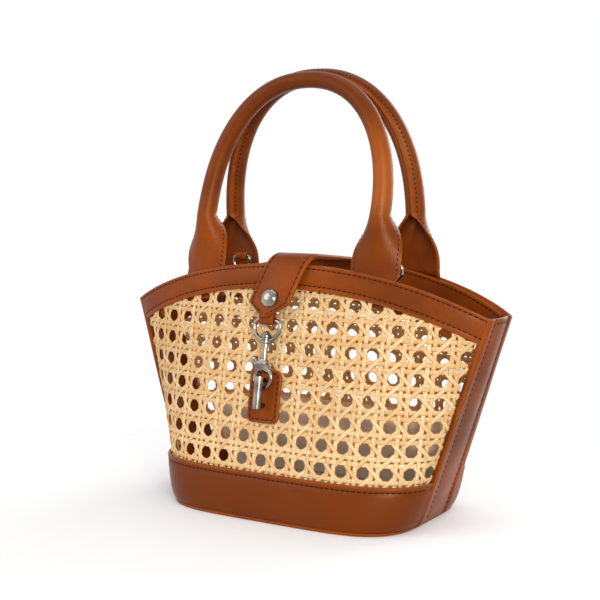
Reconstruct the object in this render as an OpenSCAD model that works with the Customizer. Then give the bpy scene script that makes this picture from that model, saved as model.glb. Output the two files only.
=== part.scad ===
// Rattan tote bag: two woven cane walls in a leather frame, two rolled handles,
// and a strap that closes over the mouth with a swivel snap hook on a bar.
// Millimetres. The base stands on z = 0, the front faces -Y and +X is to the right.

/* [Body] */
// Width between the ends of the rim
top_w = 230; // [205:1:255]
// Width of the base
base_w = 154; // [135:1:175]
// Depth of the base at its middle
base_d = 107; // [92:1:122]
// Depth at the middle, level with the ends of the rim
top_d = 67.6; // [58:0.2:78]
// Height of the rim at its ends
end_h = 114.4; // [102:0.2:126]
// Height of the rim at its middle
rim_h = 140; // [130:1:150]
// Width of a gusset at the base
gusset_base_w = 32.8; // [26:0.2:40]
// Width of a gusset at the top
gusset_top_w = 26.8; // [22:0.2:32]
// How far the wall tucks in at the foot
base_tuck = 1.6; // [0.6:0.1:2.4]
// Height over which the wall tucks in
tuck_h = 10; // [6:0.5:14]

/* [Leather] */
// Thickness of one layer of leather
leather_t = 1.6; // [1.2:0.1:2]
// Thickness of the bottom panel with its welt
bottom_t = 2; // [1.6:0.1:3]
// Height of the leather band round the base
base_band_h = 26.4; // [20:0.2:32]
// Height of the band along the rim
rim_band_h = 13.5; // [10:0.5:17]
// Height of the facing inside the rim
facing_h = 16; // [12:0.5:20]
// Width of the folded bead along a gusset's edge
bead_w = 3.4; // [2.4:0.1:4.4]
// Height of the folded bead
bead_h = 0.9; // [0.5:0.1:1.4]
// How far a gusset swells outwards
gusset_swell = 2.4; // [1:0.2:4]
// Clearance between two layers that are sewn together
layer_gap = 0.25; // [0.2:0.05:0.4]

/* [Cane] */
// Thickness of the woven cane
cane_t = 1.6; // [1.2:0.1:2]
// Spacing of the gaps in the weave
cane_pitch = 12.5; // [11.5:0.1:14]
// Width of one eight-sided gap across its flats
gap_w = 7.6; // [6:0.2:8.4]
// Height of the ridges where the strands cross
ridge_h = 0.5; // [0.2:0.1:0.9]
// Depth of cane held behind the base band
cane_tuck = 4; // [2:0.5:6]

/* [Inside] */
// Thickness of the board on the floor of the bag
board_t = 2.4; // [1.6:0.2:3.2]
// Height of the cloth lining on the rear wall
lining_h = 52; // [40:1:64]
// Thickness of the cloth lining
lining_t = 1; // [0.8:0.1:1.4]

/* [Handles] */
// Width of the leather strip that is rolled into a handle, at the lower end of the tube
strip_w = 32.5; // [29:0.5:36]
// Width of the strip at its end on the rim
strip_foot_w = 28.6; // [26:0.2:34]
// Width of the strip at the top of the handle, where the tube is thinnest
strip_top_w = 26.6; // [24:0.2:34]
// Half the span of the front handle
front_span = 57; // [52:0.5:62]
// Half the span of the rear handle
rear_span = 60.4; // [54:0.2:64]
// Height of the front handle's centre line at its top
front_top = 241; // [225:0.2:255]
// Height of the rear handle's centre line at its top
rear_top = 243.7; // [225:0.1:255]
// Distance of the front handle's top from the middle plane
front_lean = 7.9; // [7.5:0.1:12]
// Distance of the rear handle's top from the middle plane
rear_lean = 7.5; // [7.5:0.1:12]
// Distance of the front handle's tabs from its middle, along the rim
front_tab_x = 57; // [52:0.2:60]
// Distance of the rear handle's tabs from its middle, along the rim
rear_tab_x = 62.4; // [54:0.2:64]
// Side shift of the front handle's tabs
front_foot_x = -4; // [-6:0.2:6]
// Side shift of the rear handle's tabs
rear_foot_x = -5.2; // [-6:0.2:6]
// Side shift of the front handle's top, which sways a little
front_top_x = 0.4; // [-5:0.2:5]
// Side shift of the rear handle's top
rear_top_x = -1.8; // [-5:0.2:5]
// Height above the rim at which the strip closes to a tube
tab_h = 32; // [26:1:38]
// Height of the stitched seam along a handle
seam_h = 2; // [1:0.2:3]

/* [Closure strap] */
// Width of the strap
strap_w = 26; // [22:0.5:30]
// Thickness of the strap
strap_t = 2.4; // [2:0.1:3]
// Height of the strap over the mouth
strap_top = 146.4; // [144:0.5:152]
// How much lower the strap lies at the rear of the mouth
strap_drop = 5; // [0:0.5:8]
// Side shift of the strap over the mouth
strap_x = 4; // [0:0.5:8]
// Length of the pointed end
strap_point = 8; // [6:0.5:11]
// Diameter of the domed stud
stud_d = 10.4; // [8:0.2:12]
// Height of the stud's dome
stud_h = 3.4; // [2.4:0.2:4.4]
// Diameter of the stud's shank
shank_d = 3; // [2.4:0.2:3.6]

/* [Snap hook] */
// Side shift of the hook, its patch and its bar
closure_x = -6; // [-8:0.5:0]
// Height of the hook ring's centre
hook_z = 77.3; // [72:0.1:82]
// Radius of the hook ring at the middle of its wire
hook_r = 5.4; // [5:0.1:6]
// Thickness of the hook's wire
hook_wire = 2.2; // [1.8:0.1:2.5]
// Thickness of the hook's body
hook_body_t = 3.6; // [3.4:0.1:4]
// Distance from the hook ring's centre to the eye's straight bar
eye_reach = 31.6; // [30.5:0.1:34]
// Half the width of the eye at the middle of its wire
eye_r = 8.4; // [7.6:0.1:9.4]
// Thickness of the eye's wire
eye_wire = 2.2; // [1.8:0.1:2.4]
// Diameter of the eye's swivel boss
boss_d = 6.4; // [5.6:0.1:7.2]
// Diameter of the swivel post
post_d = 2; // [1.6:0.1:2.4]
// Running clearance on the swivel post and the gate's pin
pin_fit = 0.05; // [0.03:0.01:0.08]
// Diameter of the gate's pin
gate_pin_d = 1.2; // [1:0.1:1.4]
// Thickness of the gate
gate_t = 1.2; // [1:0.1:1.4]

/* [Bar and patch] */
// Width of the leather patch
patch_w = 20.2; // [16:0.2:24]
// Height of the leather patch
patch_h = 29.4; // [26:0.2:33]
// Radius of the patch's corners
patch_r = 3.5; // [2:0.5:5]
// Length of the closure bar
bar_l = 17.7; // [15:0.1:20]
// Width of the closure bar
bar_w = 5; // [4.4:0.1:5.6]
// Thickness of the closure bar
bar_t = 3; // [2.8:0.1:3.4]
// Room for the hook between the bar and the patch
bar_gap = 5.2; // [4.9:0.1:6]
// Diameter of a leg of the bar
leg_d = 3; // [2.6:0.1:3.2]

/* [Shoulder strap rings] */
// Place of a ring along the rim
ring_x = 62; // [58:0.5:66]
// Half the width of a ring at the middle of its wire
ring_r = 5; // [4.4:0.1:5.6]
// Thickness of a ring's wire
ring_wire = 1.9; // [1.6:0.1:2.2]
// Width of a ring's leather loop
ring_loop_w = 7; // [5.5:0.1:7.2]
// Height of a ring's bar above the rim
ring_rise = 7; // [5:0.5:9]
// Distance of a ring's bar from the facing
ring_stand = 8; // [7:0.5:10]

/* [Hidden] */

// Colours
leather_colour = [0.58, 0.29, 0.13];
cane_colour = [0.93, 0.80, 0.58];
metal_colour = [0.75, 0.75, 0.74];
cloth_colour = [0.55, 0.51, 0.47];

$fn = 48;
tiny = 0.05;
wall_steps = 20;
gap_sides = 8;

// Shape of a level section: the bow of the wall is flatter at the base than at the top
bow_base = [4.8, 2.38];
bow_top = [2.36, 1.07];
bow_least = [1.2, 0.6];

// Layers of the wall, measured inwards from the outer face of the leather
cane_out = leather_t + layer_gap;
cane_in = cane_out + cane_t;
facing_out = cane_in + 4 * layer_gap;
facing_in = facing_out + leather_t;
lining_out = facing_out;
rim_lip = 2.2;

// The front wall's lean and the cane's outer face at the hook
lean = atan2((base_d - top_d) / 2, end_h);
hook_y = -(half_d(hook_z) - cane_out);

// The grid of the cane
rise = cane_pitch * cos(lean);
columns = floor(top_w / 2 / cane_pitch);
rows = floor((rim_h - base_band_h) / rise) + 1;
seam_margin = 5;

// The closure, measured outwards from the cane: patch, bar and hook
patch_back = ridge_h + 0.2;
patch_face = patch_back + leather_t;
bar_back = patch_face + bar_gap;
hook_c = patch_face + bar_gap / 2;
slack = 1.5;
leg_b = leg_d / 2 + slack - (hook_r - hook_wire / 2);
bar_b = leg_b + leg_d / 2 + 0.4;
leg_step = bar_l - leg_d - 0.8;
patch_top = bar_b + 4;

// The leather loop on the eye's bar, and the strap in front of it
loop_t = 1.2;
loop_bore = eye_wire / 2 + 0.3;
loop_r = loop_bore + loop_t;
loop_w = 9;
loop_tail = 16;
tip_rise = 1.4;
rim_clear = 0.7;
strap_seat = 0.8;
eye_bar = closure_point(hook_c, eye_reach);
strap_tip = closure_point(hook_c + loop_r + 0.3 + strap_t / 2, eye_reach + tip_rise);
strap_lean = atan2(-(half_d(rim_h) + rim_clear + strap_t / 2) - strap_tip[0], rim_h - strap_tip[1]);
strap_up = [sin(strap_lean), cos(strap_lean)];
loop_seat = (eye_bar[0] - strap_tip[0]) * strap_up[1] - (eye_bar[1] - strap_tip[1]) * strap_up[0] - strap_t / 2;
stud_along = 10.5;
strap_mid = strap_top - strap_t / 2;
strap_bend = [strap_tip[0] + (strap_mid - strap_tip[1]) * tan(strap_lean), strap_mid];
strap_root_z = rim_h - facing_h + 3;
strap_foot = [half_d(strap_root_z) - facing_in - strap_t / 2 - strap_seat, strap_root_z];
strap_back = [half_d(rim_h) - facing_in - strap_t / 2 - strap_seat, strap_mid - strap_drop];
bend_cut = 9;
bend_steps = 5;

// The handles
tube_r = strip_w / 360 * 180 / PI;
tube_turn = 330;
tab_turn = 40;
tab_steps = 5;
arch_steps = 8;
arch_power = 2.2;
roll_power = 2.2;
tab_seat = 0.12;
skin_points = 8;
inner_points = 4;

// The snap hook, in the plane of the hook ring
hook_in = hook_r - hook_wire / 2;
hook_out = hook_r + hook_wire / 2;
hook_from = -140;
hook_to = 70;
neck_d = 3;
neck_from = 9.5;
collar_d = 5;
collar_h = 1.2;
boss_h = 5.6;
boss_top = eye_reach - 3 - eye_r + boss_h / 2 + 1.2;
boss_foot = boss_top - boss_h;
swivel_gap = 0.2;
rivet_d = 4;
rivet_h = 1.2;
eye_corner = 3;
pivot = [-3.4, 6.4];
body_turn = [48, 128];
neck_lap = neck_d / 5;
slot_h = 5.5 * gate_pin_d;
thumb_rise = 3 * gate_pin_d;
gate_slot = 2.4;
gate_gap = 0.3;
gate_bevel = 8;
thumb_d = 3;
spring_d = 2.2;

// Helpers

function lerp(a, b, s) = a + (b - a) * s;
function clamp(v, low, high) = max(low, min(high, v));
function share(z) = z / end_h;
function tuck(z) = base_tuck * pow(max(0, 1 - z / tuck_h), 2);
function half_w(z) = lerp(base_w, top_w, share(z)) / 2 - tuck(z);
function half_d(z) = lerp(base_d, top_d, share(z)) / 2 - tuck(z);
function seam_y(z) = lerp(gusset_base_w, gusset_top_w, share(z)) / 2;
function bow_power(i, z) = max(bow_least[i], lerp(bow_base[i], bow_top[i], share(z)));
function bow(u, z) = pow(max(0, 1 - pow(abs(u), bow_power(0, z))), 1 / bow_power(1, z));

// A point of the front wall: u runs from -1 to 1 between the seams, t is the depth below the outer face
function wall(u, z, t) = [(half_w(z) - t) * u, -lerp(seam_y(z), half_d(z) - t, bow(u, z)), z];
function rim_z(u) = end_h + (rim_h - end_h) * (1 - u * u);
function rim_u(x, z = end_h, n = 4) = n == 0 ? x / half_w(z) : rim_u(x, rim_z(x / half_w(z)), n - 1);
function steps(from, to, n) = [for (i = [0 : n]) lerp(from, to, i / n)];
stations = [for (a = steps(90, -90, wall_steps)) sin(a)];

// A point of the closure's plane: c stands out from the cane, b runs up along the wall; gives [y, z]
function closure_point(c, b) = [hook_y - c * cos(lean) + b * sin(lean), hook_z + c * sin(lean) + b * cos(lean)];

// Triangles between two rails of a closed ring: the first holds na points, the second runs back
function rung(i, na, nb) = floor(i * (nb - 1) / (na - 1) + 0.5);
function ladder(na, nb) = let (last = na + nb - 1) [
    for (i = [0 : na - 2]) each concat(
        [[i, i + 1, last - rung(i, na, nb)]],
        rung(i + 1, na, nb) > rung(i, na, nb)
            ? [[i + 1, last - rung(i + 1, na, nb), last - rung(i, na, nb)]] : [])];

// A solid through a row of closed rings, each made of two rails
module loft(rings, na) {
    n = len(rings[0]);
    m = len(rings);
    caps = ladder(na, n - na);
    sides = [for (j = [0 : m - 2], i = [0 : n - 1]) let (k = (i + 1) % n)
        each [[j * n + i, (j + 1) * n + i, (j + 1) * n + k], [j * n + i, (j + 1) * n + k, j * n + k]]];
    polyhedron([for (r = rings) each r],
        concat(sides, caps, [for (f = caps) [f[2], f[1], f[0]] + [1, 1, 1] * (m - 1) * n]), convexity = 10);
}

module rear() {
    mirror([0, 1, 0]) children();
}

// The plane of the closure: x to the right, z up along the wall, -y outwards from the cane
module on_front() {
    translate([closure_x, hook_y, hook_z]) rotate([-lean, 0, 0]) children();
}

// A half torus or a part of one, standing in the xz plane
module wire_arc(r, wire, from, to) {
    rotate([90, 0, 0]) rotate([0, 0, from]) rotate_extrude(angle = to - from) translate([r, 0]) circle(d = wire);
}

// Bands and walls

module rim_band() {
    color(leather_colour) loft([for (u = stations) [for (p = [
        [0, -rim_band_h], [0, -leather_t / 2], [leather_t / 2, 0], [facing_out - tiny, 0],
        [facing_out - tiny, -rim_lip], [leather_t, -rim_lip], [leather_t, -rim_band_h]])
        wall(u, rim_z(u) + p[1], p[0])]], 4);
}

// The facing follows the columns of the cane that it lies against
facing_stations = [for (i = [columns : -1 : -columns]) abs(i) == columns ? sign(i)
    : i * cane_pitch / (half_w(end_h) - cane_in)];

module rim_facing() {
    color(leather_colour) loft([for (u = facing_stations) [for (p = [
        [facing_out, -facing_h], [facing_out, 0], [facing_in, -leather_t / 3], [facing_in, -facing_h]])
        wall(u, rim_z(u) + p[1], p[0])]], 2);
}

module base_band() {
    color(leather_colour) loft([for (u = stations) [for (p = [
        [0, bottom_t], [0, tuck_h], [0, base_band_h],
        [leather_t, base_band_h], [leather_t, tuck_h], [leather_t, bottom_t]])
        wall(u, p[1], p[0])]], 3);
}

// Outline of a level section of the body
function outline(z, t) = concat(
    [for (u = stations) let (p = wall(u, z, t)) [p[0], p[1]]],
    [for (u = stations) let (p = wall(-u, z, t)) [p[0], -p[1]]]);

module bottom_panel() {
    color(leather_colour) linear_extrude(bottom_t) polygon(outline(0, -0.4));
}

module base_board() {
    color(cloth_colour) translate([0, 0, bottom_t]) linear_extrude(board_t)
        polygon(outline(bottom_t, facing_out));
}

module rear_lining() {
    foot = bottom_t + board_t;
    color(cloth_colour) rear() loft([for (u = steps(0.82, -0.82, 10)) [for (p = [
        [0, foot], [0, lining_h], [lining_t, lining_h], [lining_t, foot]])
        wall(u, p[1], lining_out + p[0])]], 2);
}

// A gusset's level section, from the front seam to the rear seam and back inside
function swell(z) = gusset_swell * sin(clamp(z / end_h, 0, 1) * 130);
function gusset_ring(z) = let (g = seam_y(z), w = half_w(z), s = swell(z), e = g - bead_w, f = g - bead_w - bead_h) [
    [w + bead_h / 2, -g, z], [w + bead_h + 0.2 * s, -e, z], [w + 0.25 * s, -f, z],
    [w + s, 0, z],
    [w + 0.25 * s, f, z], [w + bead_h + 0.2 * s, e, z], [w + bead_h / 2, g, z],
    [w - cane_in, g, z], [w - cane_in, e, z], [w - leather_t + 0.25 * s, f, z], [w - leather_t + s, 0, z],
    [w - leather_t + 0.25 * s, -f, z], [w - cane_in, -e, z], [w - cane_in, -g, z]];

module right_gusset() {
    levels = concat([bottom_t, tuck_h], steps(end_h / 3, end_h, 4));
    color(leather_colour) loft([for (z = levels) gusset_ring(z)], 7);
}

// The woven cane

function cane_top(u) = rim_z(u) - rim_lip - layer_gap;

// Height of a grid line: level rows, closed up under the rim where the arch leaves no room
function full_rows(u) = floor((cane_top(u) - base_band_h - 1) / rise);
function grid_z(i, j) = let (u = clamp(i * cane_pitch / half_w(end_h), -1, 1), n = full_rows(u))
    j == 0 ? base_band_h - cane_tuck
    : j - 1 <= n ? base_band_h + (j - 1) * rise
    : lerp(base_band_h + n * rise, cane_top(u), (j - 1 - n) / (rows - 1 - n));

// Place of a grid line: upright columns, closed up at the seams where the wall tapers
function full_columns(z) = floor((half_w(z) - cane_out - seam_margin) / cane_pitch);
function grid_x(i, z) = let (n = full_columns(z), a = abs(i))
    a <= n ? i * cane_pitch : sign(i) * lerp(n * cane_pitch, half_w(z) - cane_out, (a - n) / (columns - n));
function grid_u(i, z) = clamp(grid_x(i, z) / (half_w(z) - cane_out), -1, 1);

// A gap is cut where its whole cell is square and clear of the bands
function has_gap(i, j) = j > 0 && j < rows - 1
    && max(abs(i), abs(i + 1)) <= full_columns(grid_z(i, j))
    && base_band_h + j * rise - (rise - gap_w) / 2 < rim_z((i + 0.5) * cane_pitch / half_w(end_h)) - rim_band_h;

// Strands stand proud where they cross, in the open part of the wall
function in_window(u, z) = z > base_band_h + 1 && z < rim_z(u) - rim_band_h - rise * 0.8 && abs(u) < 0.97;
function cane_point(i, j, side) = let (z = grid_z(i, j), u = grid_u(i, z),
    proud = in_window(u, z) ? ridge_h : 0)
    wall(u, z, side == 0 ? cane_out - proud : cane_in);
function gap_point(i, j, k, side) = let (a = (k + 0.5) * 360 / gap_sides, r = gap_w / 2 / cos(180 / gap_sides),
    z = base_band_h + (j - 0.5) * rise + r * sin(a) * cos(lean), x = (i + 0.5) * cane_pitch + r * cos(a))
    wall(x / (half_w(z) - cane_out), z, side == 0 ? cane_out : cane_in);

module cane_panel() {
    nc = 2 * columns;
    cells = [for (j = [0 : rows - 2], i = [-columns : columns - 1]) [i, j]];
    gaps = [for (c = cells) if (has_gap(c[0], c[1])) c];
    grid_count = (nc + 1) * rows;
    grid = [for (side = [0, 1], j = [0 : rows - 1], i = [-columns : columns]) cane_point(i, j, side)];
    rims = [for (side = [0, 1], c = gaps, k = [0 : gap_sides - 1]) gap_point(c[0], c[1], k, side)];
    function at(i, j, side) = side * grid_count + j * (nc + 1) + i + columns;
    function hole(n, k, side) = 2 * grid_count + (side * len(gaps) + n) * gap_sides + k % gap_sides;
    // Corner of a cell nearest to the k-th edge of its gap, counted from the upper right
    function corner(c, q, side) = at(c[0] + (q == 0 || q == 3 ? 1 : 0), c[1] + (q < 2 ? 1 : 0), side);
    function flip(f, side) = side == 1 ? f : [f[2], f[1], f[0]];
    plain = [for (side = [0, 1], c = cells) if (!has_gap(c[0], c[1]))
        each [flip([corner(c, 0, side), corner(c, 1, side), corner(c, 2, side)], side),
              flip([corner(c, 0, side), corner(c, 2, side), corner(c, 3, side)], side)]];
    open = [for (side = [0, 1], n = [0 : len(gaps) - 1], q = [0 : 3])
        each [flip([corner(gaps[n], q, side), hole(n, 2 * q + 1, side), hole(n, 2 * q, side)], side),
              flip([corner(gaps[n], q, side), corner(gaps[n], (q + 1) % 4, side), hole(n, 2 * q + 1, side)], side),
              flip([corner(gaps[n], (q + 1) % 4, side), hole(n, 2 * q + 2, side), hole(n, 2 * q + 1, side)], side)]];
    walls = [for (n = [0 : len(gaps) - 1], k = [0 : gap_sides - 1])
        each [[hole(n, k, 0), hole(n, k, 1), hole(n, k + 1, 1)], [hole(n, k, 0), hole(n, k + 1, 1), hole(n, k + 1, 0)]]];
    border = concat(
        [for (i = [-columns : columns]) [i, 0]], [for (j = [1 : rows - 1]) [columns, j]],
        [for (i = [columns - 1 : -1 : -columns]) [i, rows - 1]], [for (j = [rows - 2 : -1 : 1]) [-columns, j]]);
    edges = [for (n = [0 : len(border) - 1]) let (a = border[n], b = border[(n + 1) % len(border)])
        each [[at(a[0], a[1], 0), at(b[0], b[1], 0), at(b[0], b[1], 1)],
              [at(a[0], a[1], 0), at(b[0], b[1], 1), at(a[0], a[1], 1)]]];
    color(cane_colour) polyhedron(concat(grid, rims), concat(plain, open, walls, edges), convexity = 20);
}

// Handles: one strip of leather each, flat at the rim and rolled into a tube above

// How far the strip is rolled: nearly flat over most of the tab, then closing fast
function turn_at(s) = lerp(tab_turn, tube_turn, pow(s, roll_power));

// A ring of a strip of the given width: out faces away from the bag, across lies along the width
function strip_ring(spine, across, out, turn, width) = let (
    r = width / turn * 180 / PI,
    closing = clamp((turn - 200) / (tube_turn - 200), 0, 1),
    centre = spine - r * out)
    concat(
        [for (i = [0 : skin_points - 1]) let (a = lerp(-turn / 2, turn / 2, i / (skin_points - 1)))
            centre + r * (sin(a) * across + cos(a) * out)],
        [for (i = [0 : inner_points - 1]) let (
            a = lerp(turn / 2, -turn / 2, i / (inner_points - 1)),
            b = lerp(172, 188, i / (inner_points - 1)),
            inner = (r - leather_t) * [sin(a), cos(a)],
            seam = (r + seam_h) * [sin(b), cos(b)],
            p = lerp(inner, seam, closing))
            centre + p[0] * across + p[1] * out]);

// The strip's end on the rim, along the line between band and facing
function tab_foot(u0) = let (du = strip_foot_w / 2 / half_w(rim_h) * 0.94)
    concat(
        [for (i = [0 : skin_points - 1]) let (u = u0 + lerp(-du, du, i / (skin_points - 1)))
            wall(u, rim_z(u) + tab_seat, leather_t * 0.75)],
        [for (i = [0 : inner_points - 1]) let (u = u0 + lerp(du, -du, i / (inner_points - 1)))
            wall(u, rim_z(u) + tab_seat, leather_t * 1.75)]);

// The middle of the tube over a foot at u0, from the tab's end at 180 degrees to the top at 90
function arch_point(span, top, lean_y, shift, u0, a) = let (
    start = rim_z(u0) + tab_h,
    z = start + (top - start) * pow(abs(sin(a)), 2 / arch_power),
    up = pow(clamp((z - start) / (top - start), 0, 1), 0.9),
    foot_y = -wall(u0, rim_z(u0), leather_t)[1] - tube_r)
    [lerp(shift[0], shift[1], up) + sign(cos(a)) * span * pow(abs(cos(a)), 2 / arch_power),
     -lerp(foot_y, lean_y, up), z];

// The left half of a handle, from its foot to its top; shift holds the side shift of both
function handle_half(span, top, lean_y, tab_x, shift) = let (
    u0 = rim_u(shift[0] - tab_x),
    foot = wall(u0, rim_z(u0), leather_t * 1.25),
    near = wall(u0 + 0.01, rim_z(u0), leather_t * 1.25),
    yaw = atan2(near[1] - foot[1], near[0] - foot[0]),
    first = arch_point(span, top, lean_y, shift, u0, 180),
    tab = [for (j = [1 : tab_steps]) let (s = j / tab_steps, w = yaw * (1 - s),
        spine = lerp(foot, first + [0, -tube_r, 0], s))
        strip_ring(spine, [cos(w), sin(w), 0], [sin(w), -cos(w), 0], turn_at(s), lerp(strip_foot_w, strip_w, s))],
    arch = [for (j = [1 : arch_steps]) let (a = 180 - 90 * j / arch_steps,
        p = arch_point(span, top, lean_y, shift, u0, a),
        q = arch_point(span, top, lean_y, shift, u0, a + 1) - arch_point(span, top, lean_y, shift, u0, a - 1),
        along = -q / norm(q),
        side = [0, -1, 0] - ([0, -1, 0] * along) * along,
        out = side / norm(side),
        width = lerp(strip_w, strip_top_w, j / arch_steps))
        strip_ring(p + tube_r * width / strip_w * out, cross(along, out), out, tube_turn, width)])
    concat([tab_foot(u0)], tab, arch);

module handle(span, top, lean_y, tab_x, shift) {
    left = handle_half(span, top, lean_y, tab_x, shift);
    right = handle_half(span, top, lean_y, tab_x, -shift);
    other = [for (j = [len(right) - 2 : -1 : 0]) [for (p = right[j]) [-p[0], p[1], p[2]]]];
    color(leather_colour) loft(concat(left, other), skin_points);
}

// The strap over the mouth

// A bend of the strap's centre line from p to r round the corner q
function cut(q, p) = q + (p - q) / norm(p - q) * bend_cut;
function bend(p, q, r) = [for (s = steps(0, 1, bend_steps))
    lerp(lerp(cut(q, p), q, s), lerp(q, cut(q, r), s), s)];
strap_line = concat([strap_foot], bend(strap_foot, strap_back, strap_bend), bend(strap_back, strap_bend, strap_tip),
    [strap_tip - (strap_tip - strap_bend) / norm(strap_tip - strap_bend) * strap_point, strap_tip]);

function strap_normal(j) = let (n = len(strap_line),
    d = strap_line[min(j + 1, n - 1)] - strap_line[max(j - 1, 0)]) [-d[1], d[0]] / norm(d);

// Side shift: level over the mouth, then drawn towards the hook
function strap_shift(p) = p[0] > 0 ? strap_x
    : lerp(closure_x, strap_x, pow(clamp((p[1] - strap_tip[1]) / (strap_mid - strap_tip[1]), 0, 1), 1.2));

module closure_strap() {
    n = len(strap_line);
    color(leather_colour) difference() {
        loft([for (j = [0 : n - 1]) let (p = strap_line[j], w = strap_normal(j) * strap_t / 2, x = strap_shift(p),
            h = (j == n - 1 ? 3 : strap_w) / 2)
            [[x + h, p[0] - w[0], p[1] - w[1]], [x - h, p[0] - w[0], p[1] - w[1]],
             [x - h, p[0] + w[0], p[1] + w[1]], [x + h, p[0] + w[0], p[1] + w[1]]]], 2);
        at_stud() cylinder(d = shank_d, h = 6 * strap_t, center = true);
    }
}

// The middle of the strap at the stud, with z pointing out of the strap
module at_stud() {
    p = strap_tip + strap_up * stud_along;
    translate([strap_shift(p), p[0], p[1]]) rotate([90 - strap_lean, 0, 0]) children();
}

module strap_stud() {
    color(metal_colour) at_stud() rotate_extrude() polygon(concat(
        [[0, -strap_t / 2 - 2 * loop_t - 0.6], [shank_d / 2, -strap_t / 2 - 2 * loop_t - 0.6], [shank_d / 2, strap_t / 2],
         [stud_d / 2, strap_t / 2], [stud_d / 2, strap_t / 2 + 0.5]],
        [for (a = steps(10, 80, 7)) [stud_d / 2 * cos(a), strap_t / 2 + 0.5 + (stud_h - 0.5) * sin(a)]],
        [[0, strap_t / 2 + stud_h]]));
}

module stud_washer() {
    color(metal_colour) at_stud() translate([0, 0, -strap_t / 2 - 2 * loop_t - 0.7]) difference() {
        cylinder(d = stud_d * 0.75, h = 0.6);
        translate([0, 0, -1]) cylinder(d = shank_d, h = 3);
    }
}

// The loop that holds the eye's bar and is riveted under the strap
module strap_loop() {
    color(leather_colour) difference() {
        translate([closure_x, eye_bar[0], eye_bar[1]]) rotate([90, 0, 90]) linear_extrude(loop_w, center = true)
            rotate(-strap_lean) difference() {
                union() {
                    circle(r = loop_r);
                    translate([-loop_seat + tiny, 0]) square([2 * loop_t, loop_tail]);
                    translate([-loop_seat + tiny, -loop_r * 0.7]) square([loop_seat - loop_bore, loop_r]);
                }
                circle(r = loop_bore);
            }
        at_stud() cylinder(d = shank_d, h = 8 * strap_t, center = true);
    }
}

// The snap hook

module at_hook() {
    on_front() translate([0, -hook_c, 0]) children();
}

// The swivel boss has two beads with a waist between them
function boss_profile() = [for (p = [[0, 0], [0.74, 0], [1, 0.14], [1, 0.3], [0.76, 0.42], [0.76, 0.56], [0.94, 0.68],
    [0.94, 0.82], [0.7, 1], [0, 1]]) [p[0] * boss_d / 2, p[1] * boss_h]];

module clasp_eye() {
    bend_b = eye_reach - eye_corner;
    color(metal_colour) at_hook() difference() {
        union() {
            translate([0, 0, bend_b]) wire_arc(eye_r, eye_wire, 180, 360);
            for (s = [-1, 1]) translate([s * (eye_r - eye_corner), 0, bend_b])
                wire_arc(eye_corner, eye_wire, s > 0 ? 0 : 90, s > 0 ? 90 : 180);
            translate([0, 0, eye_reach]) rotate([0, 90, 0])
                cylinder(d = eye_wire, h = 2 * (eye_r - eye_corner), center = true);
            translate([0, 0, boss_foot]) rotate_extrude() polygon(boss_profile());
        }
        translate([0, 0, boss_foot - 1]) cylinder(d = post_d + 2 * pin_fit, h = boss_h + 2);
    }
}

// The body's outline between the neck and the ring
function ring_arc(r, from, to, n) = [for (a = steps(from, to, n)) r * [cos(a), sin(a)]];
function hook_outline() = concat(
    [[neck_d / 2, neck_from + neck_lap], [neck_d * 0.67, neck_from - neck_d * 0.47]],
    [hook_out * [cos(body_turn[0]), sin(body_turn[0])]],
    ring_arc(hook_in, body_turn[0], body_turn[1], 6),
    [pivot + gate_pin_d * [-1.33, -0.5], pivot + gate_pin_d * [-1.08, 1.08], [-neck_d / 2, neck_from + neck_lap]]);

// The body's side view: full round the gate's pin, thinner towards the ring and the neck
function hook_side() = let(foot = hook_in * sin(body_turn[0]) - tiny, w = hook_wire / 2, t = hook_body_t / 2, r = gate_pin_d / 2)
    [[-w, foot], [w, foot], [t, pivot[1] - r], [t, pivot[1] + 2 * r], [neck_d / 2, neck_from + neck_lap],
     [-neck_d / 2, neck_from + neck_lap], [-t, pivot[1] + 2 * r], [-t, pivot[1] - r]];

module clasp_hook() {
    color(metal_colour) at_hook() difference() {
        union() {
            wire_arc(hook_r, hook_wire, hook_from, hook_to);
            intersection() {
                rotate([90, 0, 0]) linear_extrude(hook_body_t, center = true) polygon(hook_outline());
                rotate([90, 0, 90]) linear_extrude(3 * hook_out, center = true) polygon(hook_side());
            }
            translate([0, 0, neck_from]) cylinder(d = neck_d, h = boss_foot - neck_from - swivel_gap);
            translate([0, 0, boss_foot - swivel_gap - collar_h]) cylinder(d = collar_d, h = collar_h);
            translate([0, 0, boss_foot - swivel_gap - 0.5]) cylinder(d = post_d, h = boss_h + 2 * swivel_gap + 0.6);
            translate([0, 0, boss_top + swivel_gap]) cylinder(d1 = rivet_d, d2 = rivet_d * 0.6, h = rivet_h);
        }
        // Slot for the gate, and the bore of its pin
        translate([-2 * hook_out, -gate_slot / 2, pivot[1] - slot_h * 0.55])
            cube([2 * hook_out + pivot[0] + slot_h * 0.3, gate_slot, slot_h]);
        translate([pivot[0], 0, pivot[1]]) rotate([90, 0, 0]) cylinder(d = gate_pin_d, h = 20, center = true);
    }
}

// The gate closes the ring's left side, with its thumb piece above the pivot
gate_y = gate_slot / 2 - gate_t - 0.1;
gate_shut = hook_from + 360 - asin(gate_gap / hook_r) - 6;

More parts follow.
